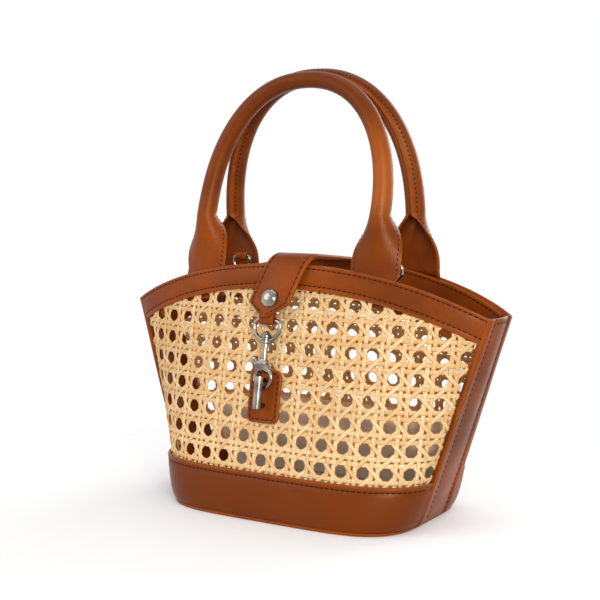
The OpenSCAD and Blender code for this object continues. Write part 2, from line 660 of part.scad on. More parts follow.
module clasp_gate() {
    color(metal_colour) at_hook() rotate([90, 0, 0]) difference() {
        union() {
            translate([0, 0, -gate_y - gate_t]) linear_extrude(gate_t) {
                translate(pivot) circle(d = 2 * gate_pin_d + 0.4);
                polygon(concat(
                    [pivot + [1.1, 0.2], pivot + [0.2, -1.4]],
                    ring_arc(hook_in + 0.1, 150, gate_shut, 4),
                    ring_arc(hook_out - 0.1, gate_shut - gate_bevel, 150, 4),
                    [pivot + [-1.5, 0.4]]));
                polygon([pivot + [-0.2, 1.3], pivot + [-1.5, 0], [-hook_out, pivot[1] + 2.6], [-hook_out + 0.8, pivot[1] + 4]]);
            }
            translate([-hook_out, pivot[1] + thumb_rise, -gate_y - gate_t / 2]) rotate([0, 90, 0])
                cylinder(d = thumb_d, h = thumb_d * 0.7, center = true);
        }
        translate([pivot[0], pivot[1], 0]) cylinder(d = gate_pin_d + 2 * pin_fit, h = 20, center = true);
    }
}

module gate_pin() {
    color(metal_colour) at_hook() translate([pivot[0], 0, pivot[1]]) rotate([90, 0, 0])
        cylinder(d = gate_pin_d, h = hook_body_t, center = true);
}

module gate_spring() {
    room = gate_slot - gate_t - 0.3;
    color(metal_colour) at_hook() translate([pivot[0], gate_slot / 2 - gate_slot + 0.1, pivot[1]]) rotate([-90, 0, 0])
        rotate_extrude() difference() {
            translate([gate_pin_d / 2 + pin_fit, 0]) square([(spring_d - gate_pin_d) / 2 - pin_fit, room]);
            for (k = [1, 2]) translate([spring_d / 2, k * room / 3]) circle(d = 0.16);
        }
}

// The bar and its patch

module bar_patch() {
    color(leather_colour) on_front() translate([0, -patch_back, patch_top]) rotate([90, 0, 0]) difference() {
        linear_extrude(leather_t) translate([0, -patch_h / 2]) rounded([patch_w, patch_h], patch_r);
        for (b = [leg_b, leg_b - leg_step]) translate([0, b - patch_top, -1]) cylinder(d = leg_d, h = leather_t + 2);
    }
}

module rounded(size, r) {
    square([size[0] - 2 * r, size[1]], center = true);
    square([size[0], size[1] - 2 * r], center = true);
    for (sx = [-1, 1], sy = [-1, 1]) translate([sx * (size[0] / 2 - r), sy * (size[1] / 2 - r)]) circle(r = r);
}

// The bar's half-round section, flat towards the patch
module bar_section() {
    flat_t = bar_t - bar_w / 2;
    translate([-bar_w / 2, -flat_t]) square([bar_w, flat_t]);
    translate([0, -flat_t]) intersection() {
        circle(d = bar_w);
        translate([-bar_w, -bar_w]) square([2 * bar_w, bar_w]);
    }
}

module closure_bar() {
    color(metal_colour) on_front() {
        translate([0, -bar_back, bar_b - bar_l]) linear_extrude(bar_l) bar_section();
        for (b = [leg_b, leg_b - leg_step]) translate([0, -patch_back, b]) rotate([90, 0, 0])
            cylinder(d = leg_d, h = bar_back - patch_back + tiny);
    }
}

// The shoulder strap's rings, each on a loop sewn to the facing inside a handle's tab

ring_loop_bore = ring_wire / 2 + 0.25;
ring_loop_r = ring_loop_bore + loop_t;

// The facing's inner face at the left of the rear wall: x along the wall, y into the bag, z = 0 on the rim
module at_ring() {
    u = rim_u(-ring_x);
    p = wall(u, rim_z(u), facing_in);
    q = wall(u + 0.01, rim_z(u), facing_in);
    rear() translate(p) rotate([0, 0, atan2(q[1] - p[1], q[0] - p[0])]) children();
}

module ring_loop() {
    foot = -facing_h * 0.7;
    tail = 2 * loop_t;
    rest = 3.4;
    reach = norm([ring_stand - rest, ring_rise]);
    slope = atan2(ring_rise, ring_stand - rest);
    color(leather_colour) at_ring() rotate([90, 0, 90]) linear_extrude(ring_loop_w, center = true) difference() {
        union() {
            translate([0.6, foot]) square([tail, -foot + 1]);
            translate([rest - tail / 2, 0]) rotate(slope) translate([0, -tail / 2]) square([reach, tail]);
            translate([0.6, 0]) square([rest - 0.6, tail * 0.6]);
            translate([ring_stand, ring_rise]) circle(r = ring_loop_r);
        }
        translate([ring_stand, ring_rise]) circle(r = ring_loop_bore);
    }
}

module strap_ring() {
    corner = 2.2;
    drop = 3.6;
    color(metal_colour) at_ring() translate([0, ring_stand, ring_rise]) {
        rotate([0, 90, 0]) cylinder(d = ring_wire, h = 2 * (ring_r - corner), center = true);
        for (s = [-1, 1]) {
            translate([s * (ring_r - corner), 0, -corner]) wire_arc(corner, ring_wire, s > 0 ? 0 : 90, s > 0 ? 90 : 180);
            translate([s * ring_r, 0, -drop]) cylinder(d = ring_wire, h = drop - corner);
        }
        translate([0, 0, -drop]) wire_arc(ring_r, ring_wire, 180, 360);
    }
}

module other_end() {
    rotate([0, 0, 180]) children();
}

cane_panel();  // front_cane_panel
rear() cane_panel();  // rear_cane_panel
base_band();  // front_base_band
rear() base_band();  // rear_base_band
bottom_panel();
base_board();
rear_lining();
other_end() right_gusset();  // left_gusset
right_gusset();
rim_band();  // front_rim_band
rear() rim_band();  // rear_rim_band
rim_facing();  // front_rim_facing
rear() rim_facing();  // rear_rim_facing
handle(front_span, front_top, front_lean, front_tab_x, [front_foot_x, front_top_x]);  // front_handle
rear() handle(rear_span, rear_top, rear_lean, rear_tab_x, [rear_foot_x, rear_top_x]);  // rear_handle
closure_strap();
strap_loop();
strap_stud();
stud_washer();
clasp_eye();
clasp_hook();
clasp_gate();
gate_pin();
gate_spring();
bar_patch();
closure_bar();
ring_loop();  // left_ring_loop
strap_ring();  // left_ring
other_end() ring_loop();  // right_ring_loop
other_end() strap_ring();  // right_ring
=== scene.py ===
"""Looks of a small rattan tote bag: woven cane, stitched leather, rolled handles and a nickel snap hook.

Sizes are in millimetres, as in the bag's own plan, and become metres when a mesh is made.
"""

import logging
import math
import random
from dataclasses import dataclass
from enum import Enum
from typing import Any, Callable, Iterable, Sequence

import bmesh
import bpy
import numpy as np
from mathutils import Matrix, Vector


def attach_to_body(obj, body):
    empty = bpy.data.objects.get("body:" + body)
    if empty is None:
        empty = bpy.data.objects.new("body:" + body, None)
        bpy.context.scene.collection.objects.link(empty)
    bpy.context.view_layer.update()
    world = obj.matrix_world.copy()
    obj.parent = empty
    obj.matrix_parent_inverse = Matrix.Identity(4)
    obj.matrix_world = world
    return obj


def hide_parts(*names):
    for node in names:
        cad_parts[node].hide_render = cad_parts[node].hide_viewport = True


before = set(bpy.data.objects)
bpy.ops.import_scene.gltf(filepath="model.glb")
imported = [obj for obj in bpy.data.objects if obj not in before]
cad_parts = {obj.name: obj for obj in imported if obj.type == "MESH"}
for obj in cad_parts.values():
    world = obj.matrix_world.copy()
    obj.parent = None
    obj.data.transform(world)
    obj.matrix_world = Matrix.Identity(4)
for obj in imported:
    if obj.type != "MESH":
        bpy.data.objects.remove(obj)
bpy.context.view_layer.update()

MM = 0.001
LOG = logging.getLogger("tote")

# The body that carries every piece made here. The metal pieces keep their own bodies.
BAG = "bag"

Array = np.ndarray
Point2 = tuple[float, float]
Point3 = tuple[float, float, float]
Colour = tuple[float, float, float, float]
Profile = Sequence[Point3]
Row = tuple[Array, Array]
Strand = tuple[Array, Array, Array]
Run = tuple[Array, Array, dict[str, float]]
Piece = bpy.types.Object
Socket = bpy.types.NodeSocket

MIRROR_X = np.array([-1.0, 1.0, 1.0])
HALF_TURN = np.array([-1.0, -1.0, 1.0])


class Side(Enum):
    """The two broad walls, with the sign that turns front values into theirs."""

    FRONT = 1
    REAR = -1

    @property
    def label(self) -> str:
        """The name that the wall's pieces start with."""
        return self.name.lower()


class Slot(Enum):
    """The record's material slots."""

    LEATHER = "cognac_leather"
    CANE = "rattan_cane"
    CLOTH = "grey_cloth"
    NICKEL = "nickel"


# Small helpers


def lerp(a: Any, b: Any, s: Any) -> Any:
    """Mixes a and b by the share s."""
    return a + (b - a) * s


def ramp(x: Any, low: float, high: float) -> Any:
    """Share of the way from low to high, held at both ends."""
    return np.clip((x - low) / (high - low), 0.0, 1.0)


def unit(v: Array) -> Array:
    """Scales vectors to length one along their last axis."""
    return v / np.maximum(np.linalg.norm(v, axis=-1, keepdims=True), 1e-12)


def run_lengths(points: Array) -> Array:
    """Distance of each point from the first, along the line through them."""
    return np.concatenate([[0], np.cumsum(np.linalg.norm(np.diff(points, axis=0), axis=1))])


def smooth_path(points: Sequence[Point2], cut: float, steps: int) -> list[Point2]:
    """Rounds the corners of a flat path.

    Args:
        points: corners of the path.
        cut: how far from a corner its bend starts.
        steps: points in each bend.
    Returns:
        The path with each inner corner replaced by a bend.
    """
    corners = [np.array(p, float) for p in points]
    path = [corners[0]]
    for before, corner, after in zip(corners, corners[1:], corners[2:]):
        reach = min(cut, np.linalg.norm(before - corner) / 2, np.linalg.norm(after - corner) / 2)
        start = corner + unit(before - corner) * reach
        end = corner + unit(after - corner) * reach
        for s in np.linspace(0, 1, steps):
            path.append(lerp(lerp(start, corner, s), lerp(corner, end, s), s))
    path.append(corners[-1])
    return [tuple(p) for p in path]


def even_path(points: Sequence[Point2], step: float) -> Array:
    """Resamples a flat path to points about one step apart.

    Args:
        points: the path's points.
        step: wanted distance between points.
    Returns:
        The new points as an array.
    """
    pts = np.array(points, float)
    lengths = run_lengths(pts)
    at = np.linspace(0, lengths[-1], max(2, int(lengths[-1] / step) + 1))
    return np.stack([np.interp(at, lengths, column) for column in pts.T], axis=1)


def side_normals(path: Array) -> Array:
    """Directions square to a flat path, to the left of its run."""
    tangents = unit(np.gradient(path, axis=0))
    return np.stack([-tangents[:, 1], tangents[:, 0]], axis=1)


# Objects and meshes


def put(name: str, data: Any) -> Piece:
    """Puts a mesh, lamp or camera into the scene at the origin."""
    made = bpy.data.objects.new(name, data)
    bpy.context.scene.collection.objects.link(made)
    return made


class Maker:
    """Turns millimetre points into Blender objects."""

    @staticmethod
    def loft(name: str, rings: Array, sharp_deg: float, edge: Any = None) -> Piece:
        """Makes a smooth closed skin through a row of closed rings, with faces that point outwards.

        Args:
            name: name of the piece.
            rings: array of rings, points and coordinates.
            sharp_deg: edges that turn by more than this stay sharp.
            edge: share of worn edge at each point of a ring, or at each ring as a column.
        Returns:
            The linked object.
        """
        rings = np.asarray(rings, float)
        count, size = rings.shape[:2]
        faces = []
        for low in range(0, (count - 1) * size, size):
            high = low + size
            for i in range(size):
                after = (i + 1) % size
                faces.append((low + i, low + after, high + after, high + i))
        faces.append(tuple(range(size)))
        faces.append(tuple((count - 1) * size + i for i in reversed(range(size))))
        data = bpy.data.meshes.new(name)
        data.from_pydata((rings.reshape(-1, 3) * MM).tolist(), [], faces)
        work = bmesh.new()
        work.from_mesh(data)
        bmesh.ops.recalc_face_normals(work, faces=work.faces)
        work.to_mesh(data)
        work.free()
        data.shade_smooth()
        data.set_sharp_from_angle(angle=math.radians(sharp_deg))
        piece = put(name, data)
        if edge is not None:
            Maker.paint(piece, "edge", np.broadcast_to(edge, (count, size)))
        return piece

    @staticmethod
    def paint(piece: Piece, name: str, values: Any) -> None:
        """Stores one number per vertex for the materials to read."""
        layer = piece.data.attributes.new(name, "FLOAT", "POINT")
        layer.data.foreach_set("value", np.asarray(values, np.float32).ravel())

    @staticmethod
    def lines(name: str, runs: Iterable[Run]) -> Piece:
        """Makes an object of open lines that carry the surface's direction.

        Args:
            name: name of the piece.
            runs: points, directions and extra numbers of each line.
        Returns:
            The linked object, with edges only.
        """
        points, normals, edges = [], [], []
        extra: dict[str, list[float]] = {}
        for run_points, run_normals, numbers in runs:
            first = len(points)
            points.extend((np.asarray(run_points) * MM).tolist())
            normals.extend(np.asarray(run_normals).tolist())
            edges.extend((first + i, first + i + 1) for i in range(len(run_points) - 1))
            for key, value in numbers.items():
                extra.setdefault(key, []).extend([value] * len(run_points))
        data = bpy.data.meshes.new(name)
        data.from_pydata(points, edges, [])
        layer = data.attributes.new("surface_normal", "FLOAT_VECTOR", "POINT")
        layer.data.foreach_set("vector", np.asarray(normals, np.float32).ravel())
        piece = put(name, data)
        for key, values in extra.items():
            Maker.paint(piece, key, values)
        return piece


def attach(piece: Piece, slot: Slot, *nodes: str) -> Piece:
    """Ties a finished piece to the frame.

    Args:
        piece: the piece.
        slot: the record's slot that its finish belongs to; not used.
        nodes: CAD nodes that it stands for.
    Returns:
        The same piece.
    """
    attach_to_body(piece, BAG)
    if nodes:
        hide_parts(*nodes)
    LOG.info("%s rides on %s with %d faces", piece.name, BAG, len(piece.data.polygons))
    return piece


# Node graphs


class Graph:
    """Adds and links nodes of one tree."""

    def __init__(self, tree: bpy.types.NodeTree) -> None:
        """Keeps the tree."""
        self.tree = tree

    def feed(self, node: bpy.types.Node, inputs: dict[Any, Any]) -> None:
        """Links a socket to each named or numbered input of a node, or sets its value."""
        for key, value in inputs.items():
            if isinstance(value, Socket):
                self.tree.links.new(value, node.inputs[key])
            else:
                node.inputs[key].default_value = value

    def node(self, kind: str, inputs: dict[Any, Any] | None = None, **settings: Any) -> bpy.types.Node:
        """Adds a node.

        Args:
            kind: type name of the node.
            inputs: a socket to link or a value for each named or numbered input.
            settings: attributes of the node.
        Returns:
            The new node.
        """
        made = self.tree.nodes.new(kind)
        for key, value in settings.items():
            setattr(made, key, value)
        self.feed(made, inputs or {})
        return made

    def out(self, kind: str, inputs: dict[Any, Any] | None = None, **settings: Any) -> Socket:
        """Adds a node and returns its first output."""
        return self.node(kind, inputs, **settings).outputs[0]

    def math(self, operation: str, *values: Any) -> Socket:
        """Works out one operation on one or two values."""
        return self.out("ShaderNodeMath", dict(enumerate(values)), operation=operation)

    def stored(self, name: str) -> Socket:
        """The number that a mesh stores under a name."""
        return self.node("ShaderNodeAttribute", attribute_name=name).outputs["Fac"]

    def noise(self, place: Socket, scale: float, detail: float) -> Socket:
        """A noise of the given number of waves in a metre."""
        return self.out("ShaderNodeTexNoise", {"Vector": place, "Scale": scale, "Detail": detail})

    def spread(self, value: Socket, low: float, high: float, to_low: float = 0.0,
               to_high: float = 1.0) -> Socket:
        """Maps a value from one range to another, held at its ends."""
        ranges = {"From Min": low, "From Max": high, "To Min": to_low, "To Max": to_high}
        return self.out("ShaderNodeMapRange", {"Value": value, **ranges})

    def mix(self, share: Any, a: Any, b: Any) -> Socket:
        """Mixes two colours."""
        return self.node("ShaderNodeMix", {0: share, 6: a, 7: b}, data_type="RGBA").outputs[2]

    def bump(self, height: Socket, depth_mm: float, strength: float, under: Socket | None = None) -> Socket:
        """A bump of the given depth, over another one if there is one."""
        inputs: dict[Any, Any] = {"Height": height, "Distance": depth_mm * MM, "Strength": strength}
        if under is not None:
            inputs["Normal"] = under
        return self.out("ShaderNodeBump", inputs)

    def seen(self) -> Socket:
        """One for rays of the camera, mirrors and glass, and zero for light."""
        path = self.node("ShaderNodeLightPath").outputs
        shown = self.math("MAXIMUM", path["Is Camera Ray"], path["Is Glossy Ray"])
        return self.math("MAXIMUM", shown, path["Is Transmission Ray"])

    def blend_surface(self, share: Any, a: Socket, b: Socket) -> None:
        """Sends a mix of two shaders to the material's surface."""
        both = self.out("ShaderNodeMixShader", {0: share, 1: a, 2: b})
        self.feed(self.tree.nodes["Material Output"], {"Surface": both})


# Finishes


@dataclass(frozen=True)
class Finish:
    """A surface with a shader graph of its own."""

    name: str

    def build(self) -> bpy.types.Material:
        """Makes the material and wires its shader."""
        material = bpy.data.materials.new(self.name)
        material.use_nodes = True
        graph = Graph(material.node_tree)
        place = graph.node("ShaderNodeTexCoord").outputs["Object"]
        self.wire(graph, graph.tree.nodes["Principled BSDF"], place)
        return material

    def wire(self, graph: Graph, shader: bpy.types.Node, place: Socket) -> None:
        """Feeds the shader.

        Args:
            graph: the material's graph.
            shader: its shader node.
            place: the object coordinates.
        """
        raise NotImplementedError


@dataclass(frozen=True)
class Leather(Finish):
    """Smooth cognac leather: fine grain, soft mottling, paler worn edges, a paler painted light on the right
    legs of the handles, and darker painted shade on the handle tops, in the rolls and on the base band.
    """

    # Dark tone of the random clouds and flecks, and also the colour of the painted shade.
    deep: Colour = (0.125, 0.0225, 0.0013, 1)
    base: Colour = (0.245, 0.046, 0.0023, 1)
    worn: Colour = (0.29, 0.06, 0.005, 1)
    # Colour of the painted light on the right legs of the handles.
    pale: Colour = (0.42, 0.1, 0.014, 1)
    gloss: Colour = (1.0, 0.72, 0.5, 1)
    specular: float = 0.2
    roughness: Point2 = (0.27, 0.4)
    clouds: float = 26.0
    flecks: float = 420.0
    fleck_share: float = 0.22
    rubs: float = 160.0
    haze: float = 70.0
    pores: float = 850.0
    folds: float = 55.0

    def wire(self, graph: Graph, shader: bpy.types.Node, place: Socket) -> None:
        """Feeds the shader."""
        cloud = graph.spread(graph.noise(place, self.clouds, 4.0), 0.34, 0.66)
        tone = graph.mix(cloud, self.deep, self.base)
        fleck = graph.spread(graph.noise(place, self.flecks, 5.0), 0.35, 0.7, 0.0, self.fleck_share)
        tone = graph.mix(fleck, tone, self.deep)
        # Painted shade: darker over the handle tops, inside the rolls and on the base band.
        tone = graph.mix(graph.stored("painted_shade"), tone, self.deep)
        # Painted light: paler on the right legs of the handles.
        tone = graph.mix(graph.stored("painted_leg_light"), tone, self.pale)
        patchy = graph.spread(graph.noise(place, self.rubs, 3.0), 0.3, 0.65, 0.45, 1.0)
        tone = graph.mix(graph.math("MULTIPLY", graph.stored("edge"), patchy), tone, self.worn)
        rough = graph.spread(graph.noise(place, self.haze, 3.0), 0.3, 0.7, *self.roughness)
        pores = graph.node("ShaderNodeTexVoronoi", {"Vector": place, "Scale": self.pores},
                           feature="DISTANCE_TO_EDGE").outputs["Distance"]
        grain = graph.bump(graph.spread(pores, 0.0, 0.12), 0.06, 0.35)
        folds = graph.bump(graph.noise(place, self.folds, 3.0), 1.0, 0.14, grain)
        graph.feed(shader, {"Base Color": tone, "Roughness": rough, "Specular IOR Level": self.specular,
                            "Specular Tint": self.gloss, "Normal": folds})


@dataclass(frozen=True)
class Cane(Finish):
    """Split rattan: straw strands with long fibres, each of its own tone, brown on the inner side, partly a
    rougher back face and partly painted shade; the strand sides lean towards the same brown.
    """

    pale: Colour = (0.74, 0.51, 0.262, 1)
    ripe: Colour = (0.62, 0.366, 0.145, 1)
    # Brown of the back face and the strand sides: partly the rougher back of the cane, partly painted shade.
    inner: Colour = (0.66, 0.33, 0.10, 1)
    specular: float = 0.4
    roughness: Point2 = (0.3, 0.5)
    fibres: Point3 = (60.0, 5.0, 40.0)
    patches: float = 70.0
    side_share: float = 0.6

    def wire(self, graph: Graph, shader: bpy.types.Node, place: Socket) -> None:
        """Feeds the shader."""
        tone, along, across, outer = (graph.stored(name) for name in ("tone", "along", "across", "outer"))
        fibre = graph.out("ShaderNodeCombineXYZ", {"X": along, "Y": across, "Z": tone})
        stretch = graph.out("ShaderNodeMapping", {"Vector": fibre, "Scale": self.fibres})
        streak = graph.noise(stretch, 1.0, 4.0)
        mixed = graph.math("ADD", streak, graph.noise(place, self.patches, 3.0))
        mixed = graph.math("ADD", mixed, tone)
        colour = graph.mix(graph.spread(mixed, 1.1, 1.9), self.pale, self.ripe)
        # The strand sides lean towards the brown inner colour, and the back face takes it fully, partly as
        # painted shade.
        side = graph.spread(graph.math("ABSOLUTE", across), 0.62, 1.0, 0.0, self.side_share)
        colour = graph.mix(side, colour, self.inner)
        back = graph.spread(outer, -0.55, 0.1, 1.0, 0.0)
        colour = graph.mix(back, colour, self.inner)
        rough = graph.spread(streak, 0.3, 0.7, *self.roughness)
        graph.feed(shader, {"Base Color": colour, "Roughness": rough, "Specular IOR Level": self.specular,
                            "Normal": graph.bump(streak, 0.12, 0.5)})


@dataclass(frozen=True)
class Nickel(Finish):
    """Polished nickel with darker and paler clouds and a faint haze."""

    bright: Colour = (0.42, 0.385, 0.335, 1)
    dull: Colour = (0.17, 0.153, 0.128, 1)
    roughness: Point2 = (0.08, 0.15)
    haze: float = 110.0
    dents: float = 60.0

    def wire(self, graph: Graph, shader: bpy.types.Node, place: Socket) -> None:
        """Feeds the shader."""
        haze = graph.noise(place, self.haze, 1.0)
        tint = graph.mix(graph.spread(haze, 0.34, 0.66), self.bright, self.dull)
        rough = graph.spread(haze, 0.3, 0.7, *self.roughness)
        dents = graph.bump(graph.noise(place, self.dents, 1.0), 0.2, 0.1)
        graph.feed(shader, {"Base Color": tint, "Metallic": 1.0, "Roughness": rough, "Normal": dents})


@dataclass(frozen=True)
class Cloth(Finish):
    """Plain woven lining in a warm taupe, thin enough to let some light through."""

    warp: Colour = (0.97, 0.86, 0.73, 1)
    weft: Colour = (0.82, 0.69, 0.56, 1)
    threads: float = 1500.0
    waver: float = 0.6
    patches: float = 45.0
    thin: float = 0.5
    roughness: float = 0.9
    sheen: float = 0.2

    def wire(self, graph: Graph, shader: bpy.types.Node, place: Socket) -> None:
        """Feeds the shader."""
        thread = {"Vector": place, "Scale": self.threads / 6.283, "Distortion": self.waver}
        upright, level = (graph.node("ShaderNodeTexWave", thread, bands_direction=way).outputs[1]
                          for way in ("X", "Z"))
        weave = graph.math("MULTIPLY", upright, level)
        share = graph.math("ADD", weave, graph.noise(place, self.patches, 3.0))
        tone = graph.mix(graph.spread(share, 0.45, 1.05), self.weft, self.warp)
        graph.feed(shader, {"Base Color": tone, "Roughness": self.roughness, "Sheen Weight": self.sheen,
                            "Normal": graph.bump(weave, 0.15, 0.5)})
        through = graph.out("ShaderNodeBsdfTranslucent", {"Color": tone})
        graph.blend_surface(self.thin, shader.outputs[0], through)


@dataclass(frozen=True)
class Thread(Finish):
    """Dark waxed sewing thread."""

    dark: Colour = (0.012, 0.0022, 0.0006, 1)
    light: Colour = (0.036, 0.008, 0.002, 1)
    twist: float = 1600.0
    roughness: float = 0.6
    specular: float = 0.12

    def wire(self, graph: Graph, shader: bpy.types.Node, place: Socket) -> None:
        """Feeds the shader."""
        twist = graph.noise(place, self.twist, 2.0)
        tint = graph.mix(graph.spread(twist, 0.35, 0.65), self.dark, self.light)
        graph.feed(shader, {"Base Color": tint, "Roughness": self.roughness,
                            "Specular IOR Level": self.specular, "Normal": graph.bump(twist, 0.08, 0.4)})


@dataclass(frozen=True)
class PaleFloor(Finish):
    """A pale floor that fades into the surroundings away from the bag."""

    grey: Colour = (0.88, 0.88, 0.88, 1)
    roughness: float = 0.85
    white: Colour = (1, 1, 1, 1)
    glow: float = 0.05
    fade: Point2 = (0.09, 0.3)

    def wire(self, graph: Graph, shader: bpy.types.Node, place: Socket) -> None:
        """Feeds the shader."""
        glow = graph.math("MULTIPLY", graph.seen(), self.glow)
        graph.feed(shader, {"Base Color": self.grey, "Roughness": self.roughness,
                            "Emission Color": self.white, "Emission Strength": glow})
        far = graph.node("ShaderNodeVectorMath", {0: place}, operation="LENGTH").outputs["Value"]
        reach = {"Value": far, "From Min": self.fade[0], "From Max": self.fade[1]}
        fade = graph.out("ShaderNodeMapRange", reach, interpolation_type="SMOOTHSTEP")
        clear = graph.out("ShaderNodeBsdfTransparent")
        graph.blend_surface(fade, shader.outputs[0], clear)


class Finishes:
    """All finishes of the bag, each built once."""

    def __init__(self) -> None:
        """Builds the materials."""
        self.of = {
            Slot.LEATHER: Leather("cognac leather").build(),
            Slot.CANE: Cane("split rattan").build(),
            Slot.NICKEL: Nickel("polished nickel").build(),
            Slot.CLOTH: Cloth("taupe lining").build(),
        }
        self.thread = Thread("waxed thread").build()


# Geometry node trees


class Sewing:
    """A tree that lays stitches along lines, and one that sweeps strands along them."""

    def __init__(self) -> None:
        """Builds both trees."""
        self.stitches = self.stitch_tree()
        self.strands = self.strand_tree()

    @staticmethod
    def start(name: str, numbers: dict[str, float], material: str) -> tuple[Graph, Any, Socket, Socket]:
        """Starts a tree with its named inputs.

        Args:
            name: name of the tree.
            numbers: default of each number input.
            material: name of the material input.
        Returns:
            The graph, its inputs, the lines as a curve and the directions that they carry.
        """
        tree = bpy.data.node_groups.new(name, "GeometryNodeTree")
        tree.interface.new_socket("Geometry", in_out="INPUT", socket_type="NodeSocketGeometry")
        for label, value in numbers.items():
            socket = tree.interface.new_socket(label, in_out="INPUT", socket_type="NodeSocketFloat")
            socket.default_value = value
        tree.interface.new_socket(material, in_out="INPUT", socket_type="NodeSocketMaterial")
        tree.interface.new_socket("Geometry", in_out="OUTPUT", socket_type="NodeSocketGeometry")
        graph = Graph(tree)
        given = graph.node("NodeGroupInput").outputs
        curve = graph.out("GeometryNodeMeshToCurve", {"Mesh": given["Geometry"]})
        normal = graph.out("GeometryNodeInputNamedAttribute", {"Name": "surface_normal"},
                           data_type="FLOAT_VECTOR")
        return graph, given, curve, normal

    @staticmethod
    def end(graph: Graph, shape: Socket, material: Socket) -> bpy.types.NodeTree:
        """Realizes the instances, sets the material, closes the tree and returns it."""
        real = graph.out("GeometryNodeRealizeInstances", {"Geometry": shape})
        done = graph.out("GeometryNodeSetMaterial", {"Geometry": real, "Material": material})
        graph.node("NodeGroupOutput", {0: done})
        return graph.tree

    @staticmethod
    def store(graph: Graph, shape: Socket, name: str, value: Socket) -> Socket:
        """Keeps a number on each point of a shape, for the finish to read."""
        inputs = {"Geometry": shape, "Name": name, "Value": value}
        return graph.out("GeometryNodeStoreNamedAttribute", inputs, data_type="FLOAT",
                         domain="POINT")

    @classmethod
    def stitch_tree(cls) -> bpy.types.NodeTree:
        """Builds the tree of stitches: short rounded threads that lie on the leather."""
        sizes = {"Pitch": 0.003, "Length": 0.0026, "Width": 0.00084, "Height": 0.0004, "Slant": 0.05}
        graph, given, curve, normal = cls.start("Stitch row", sizes, "Thread")
        points = graph.node("GeometryNodeCurveToPoints", {"Curve": curve, "Length": given["Pitch"]},
                            mode="LENGTH").outputs
        turn = graph.out("FunctionNodeAxesToRotation", {0: normal, 1: points["Tangent"]},
                         primary_axis="Z", secondary_axis="X")
        slant = graph.out("ShaderNodeCombineXYZ", {"Z": given["Slant"]})
        slant = graph.out("FunctionNodeEulerToRotation", {0: slant})
        turn = graph.out("FunctionNodeRotateRotation", {0: turn, 1: slant},
                         rotation_space="LOCAL")
        bead = graph.out("GeometryNodeMeshUVSphere", {"Segments": 6, "Rings": 4, "Radius": 0.5})
        laid = graph.out("GeometryNodeTransform", {"Geometry": bead,
                                                   "Rotation": (0, math.pi / 2, 0)})
        size = graph.out("ShaderNodeCombineXYZ", {"X": given["Length"], "Y": given["Width"],
                                                  "Z": given["Height"]})
        row = graph.out("GeometryNodeInstanceOnPoints", {"Points": points["Points"], "Instance": laid,
                                                         "Rotation": turn, "Scale": size})
        return cls.end(graph, row, given["Thread"])

    @classmethod
    def strand_tree(cls) -> bpy.types.NodeTree:
        """Builds the tree of strands: flat rounded strips that face the wall's own direction."""
        sizes = {"Width": 0.0023, "Thickness": 0.0006}
        graph, given, curve, normal = cls.start("Cane strands", sizes, "Cane")
        turned_curve = graph.out("GeometryNodeSetCurveNormal", {"Curve": curve, "Normal": normal},
                                 mode="FREE")
        length = graph.node("GeometryNodeSplineParameter").outputs["Length"]
        path = cls.store(graph, turned_curve, "along", length)
        ring = graph.out("GeometryNodeCurvePrimitiveCircle", {"Resolution": 8, "Radius": 1.0})
        spot = graph.out("GeometryNodeInputPosition")
        spot = graph.node("ShaderNodeSeparateXYZ", {0: spot}).outputs
        ring = cls.store(graph, ring, "outer", spot["X"])
        ring = cls.store(graph, ring, "across", spot["Y"])
        thick, wide = (graph.math("MULTIPLY", given[key], 0.5) for key in ("Thickness", "Width"))
        scale = graph.out("ShaderNodeCombineXYZ", {"X": thick, "Y": wide, "Z": 1.0})
        ring = graph.out("GeometryNodeTransform", {"Geometry": ring, "Scale": scale})
        strip = graph.out("GeometryNodeCurveToMesh", {"Curve": path, "Profile Curve": ring,
                                                      "Fill Caps": True})
        return cls.end(graph, strip, given["Cane"])

    @staticmethod
    def run(piece: Piece, tree: bpy.types.NodeTree, values: dict[str, Any]) -> None:
        """Runs a tree on a piece and keeps the result as a plain mesh.

        Args:
            piece: the piece with the lines.
            tree: the tree.
            values: value of each named input that isn't left at its default.
        """
        modifier = piece.modifiers.new(tree.name, "NODES")
        modifier.node_group = tree
        for item in tree.interface.items_tree:
            if item.in_out == "INPUT" and item.name in values:
                modifier[item.identifier] = values[item.name]
        graph = bpy.context.evaluated_depsgraph_get()
        done = bpy.data.meshes.new_from_object(piece.evaluated_get(graph), preserve_all_data_layers=True,
                                               depsgraph=graph)
        piece.modifiers.clear()
        piece.data = done
        piece.data.shade_smooth()


# The form of the bag


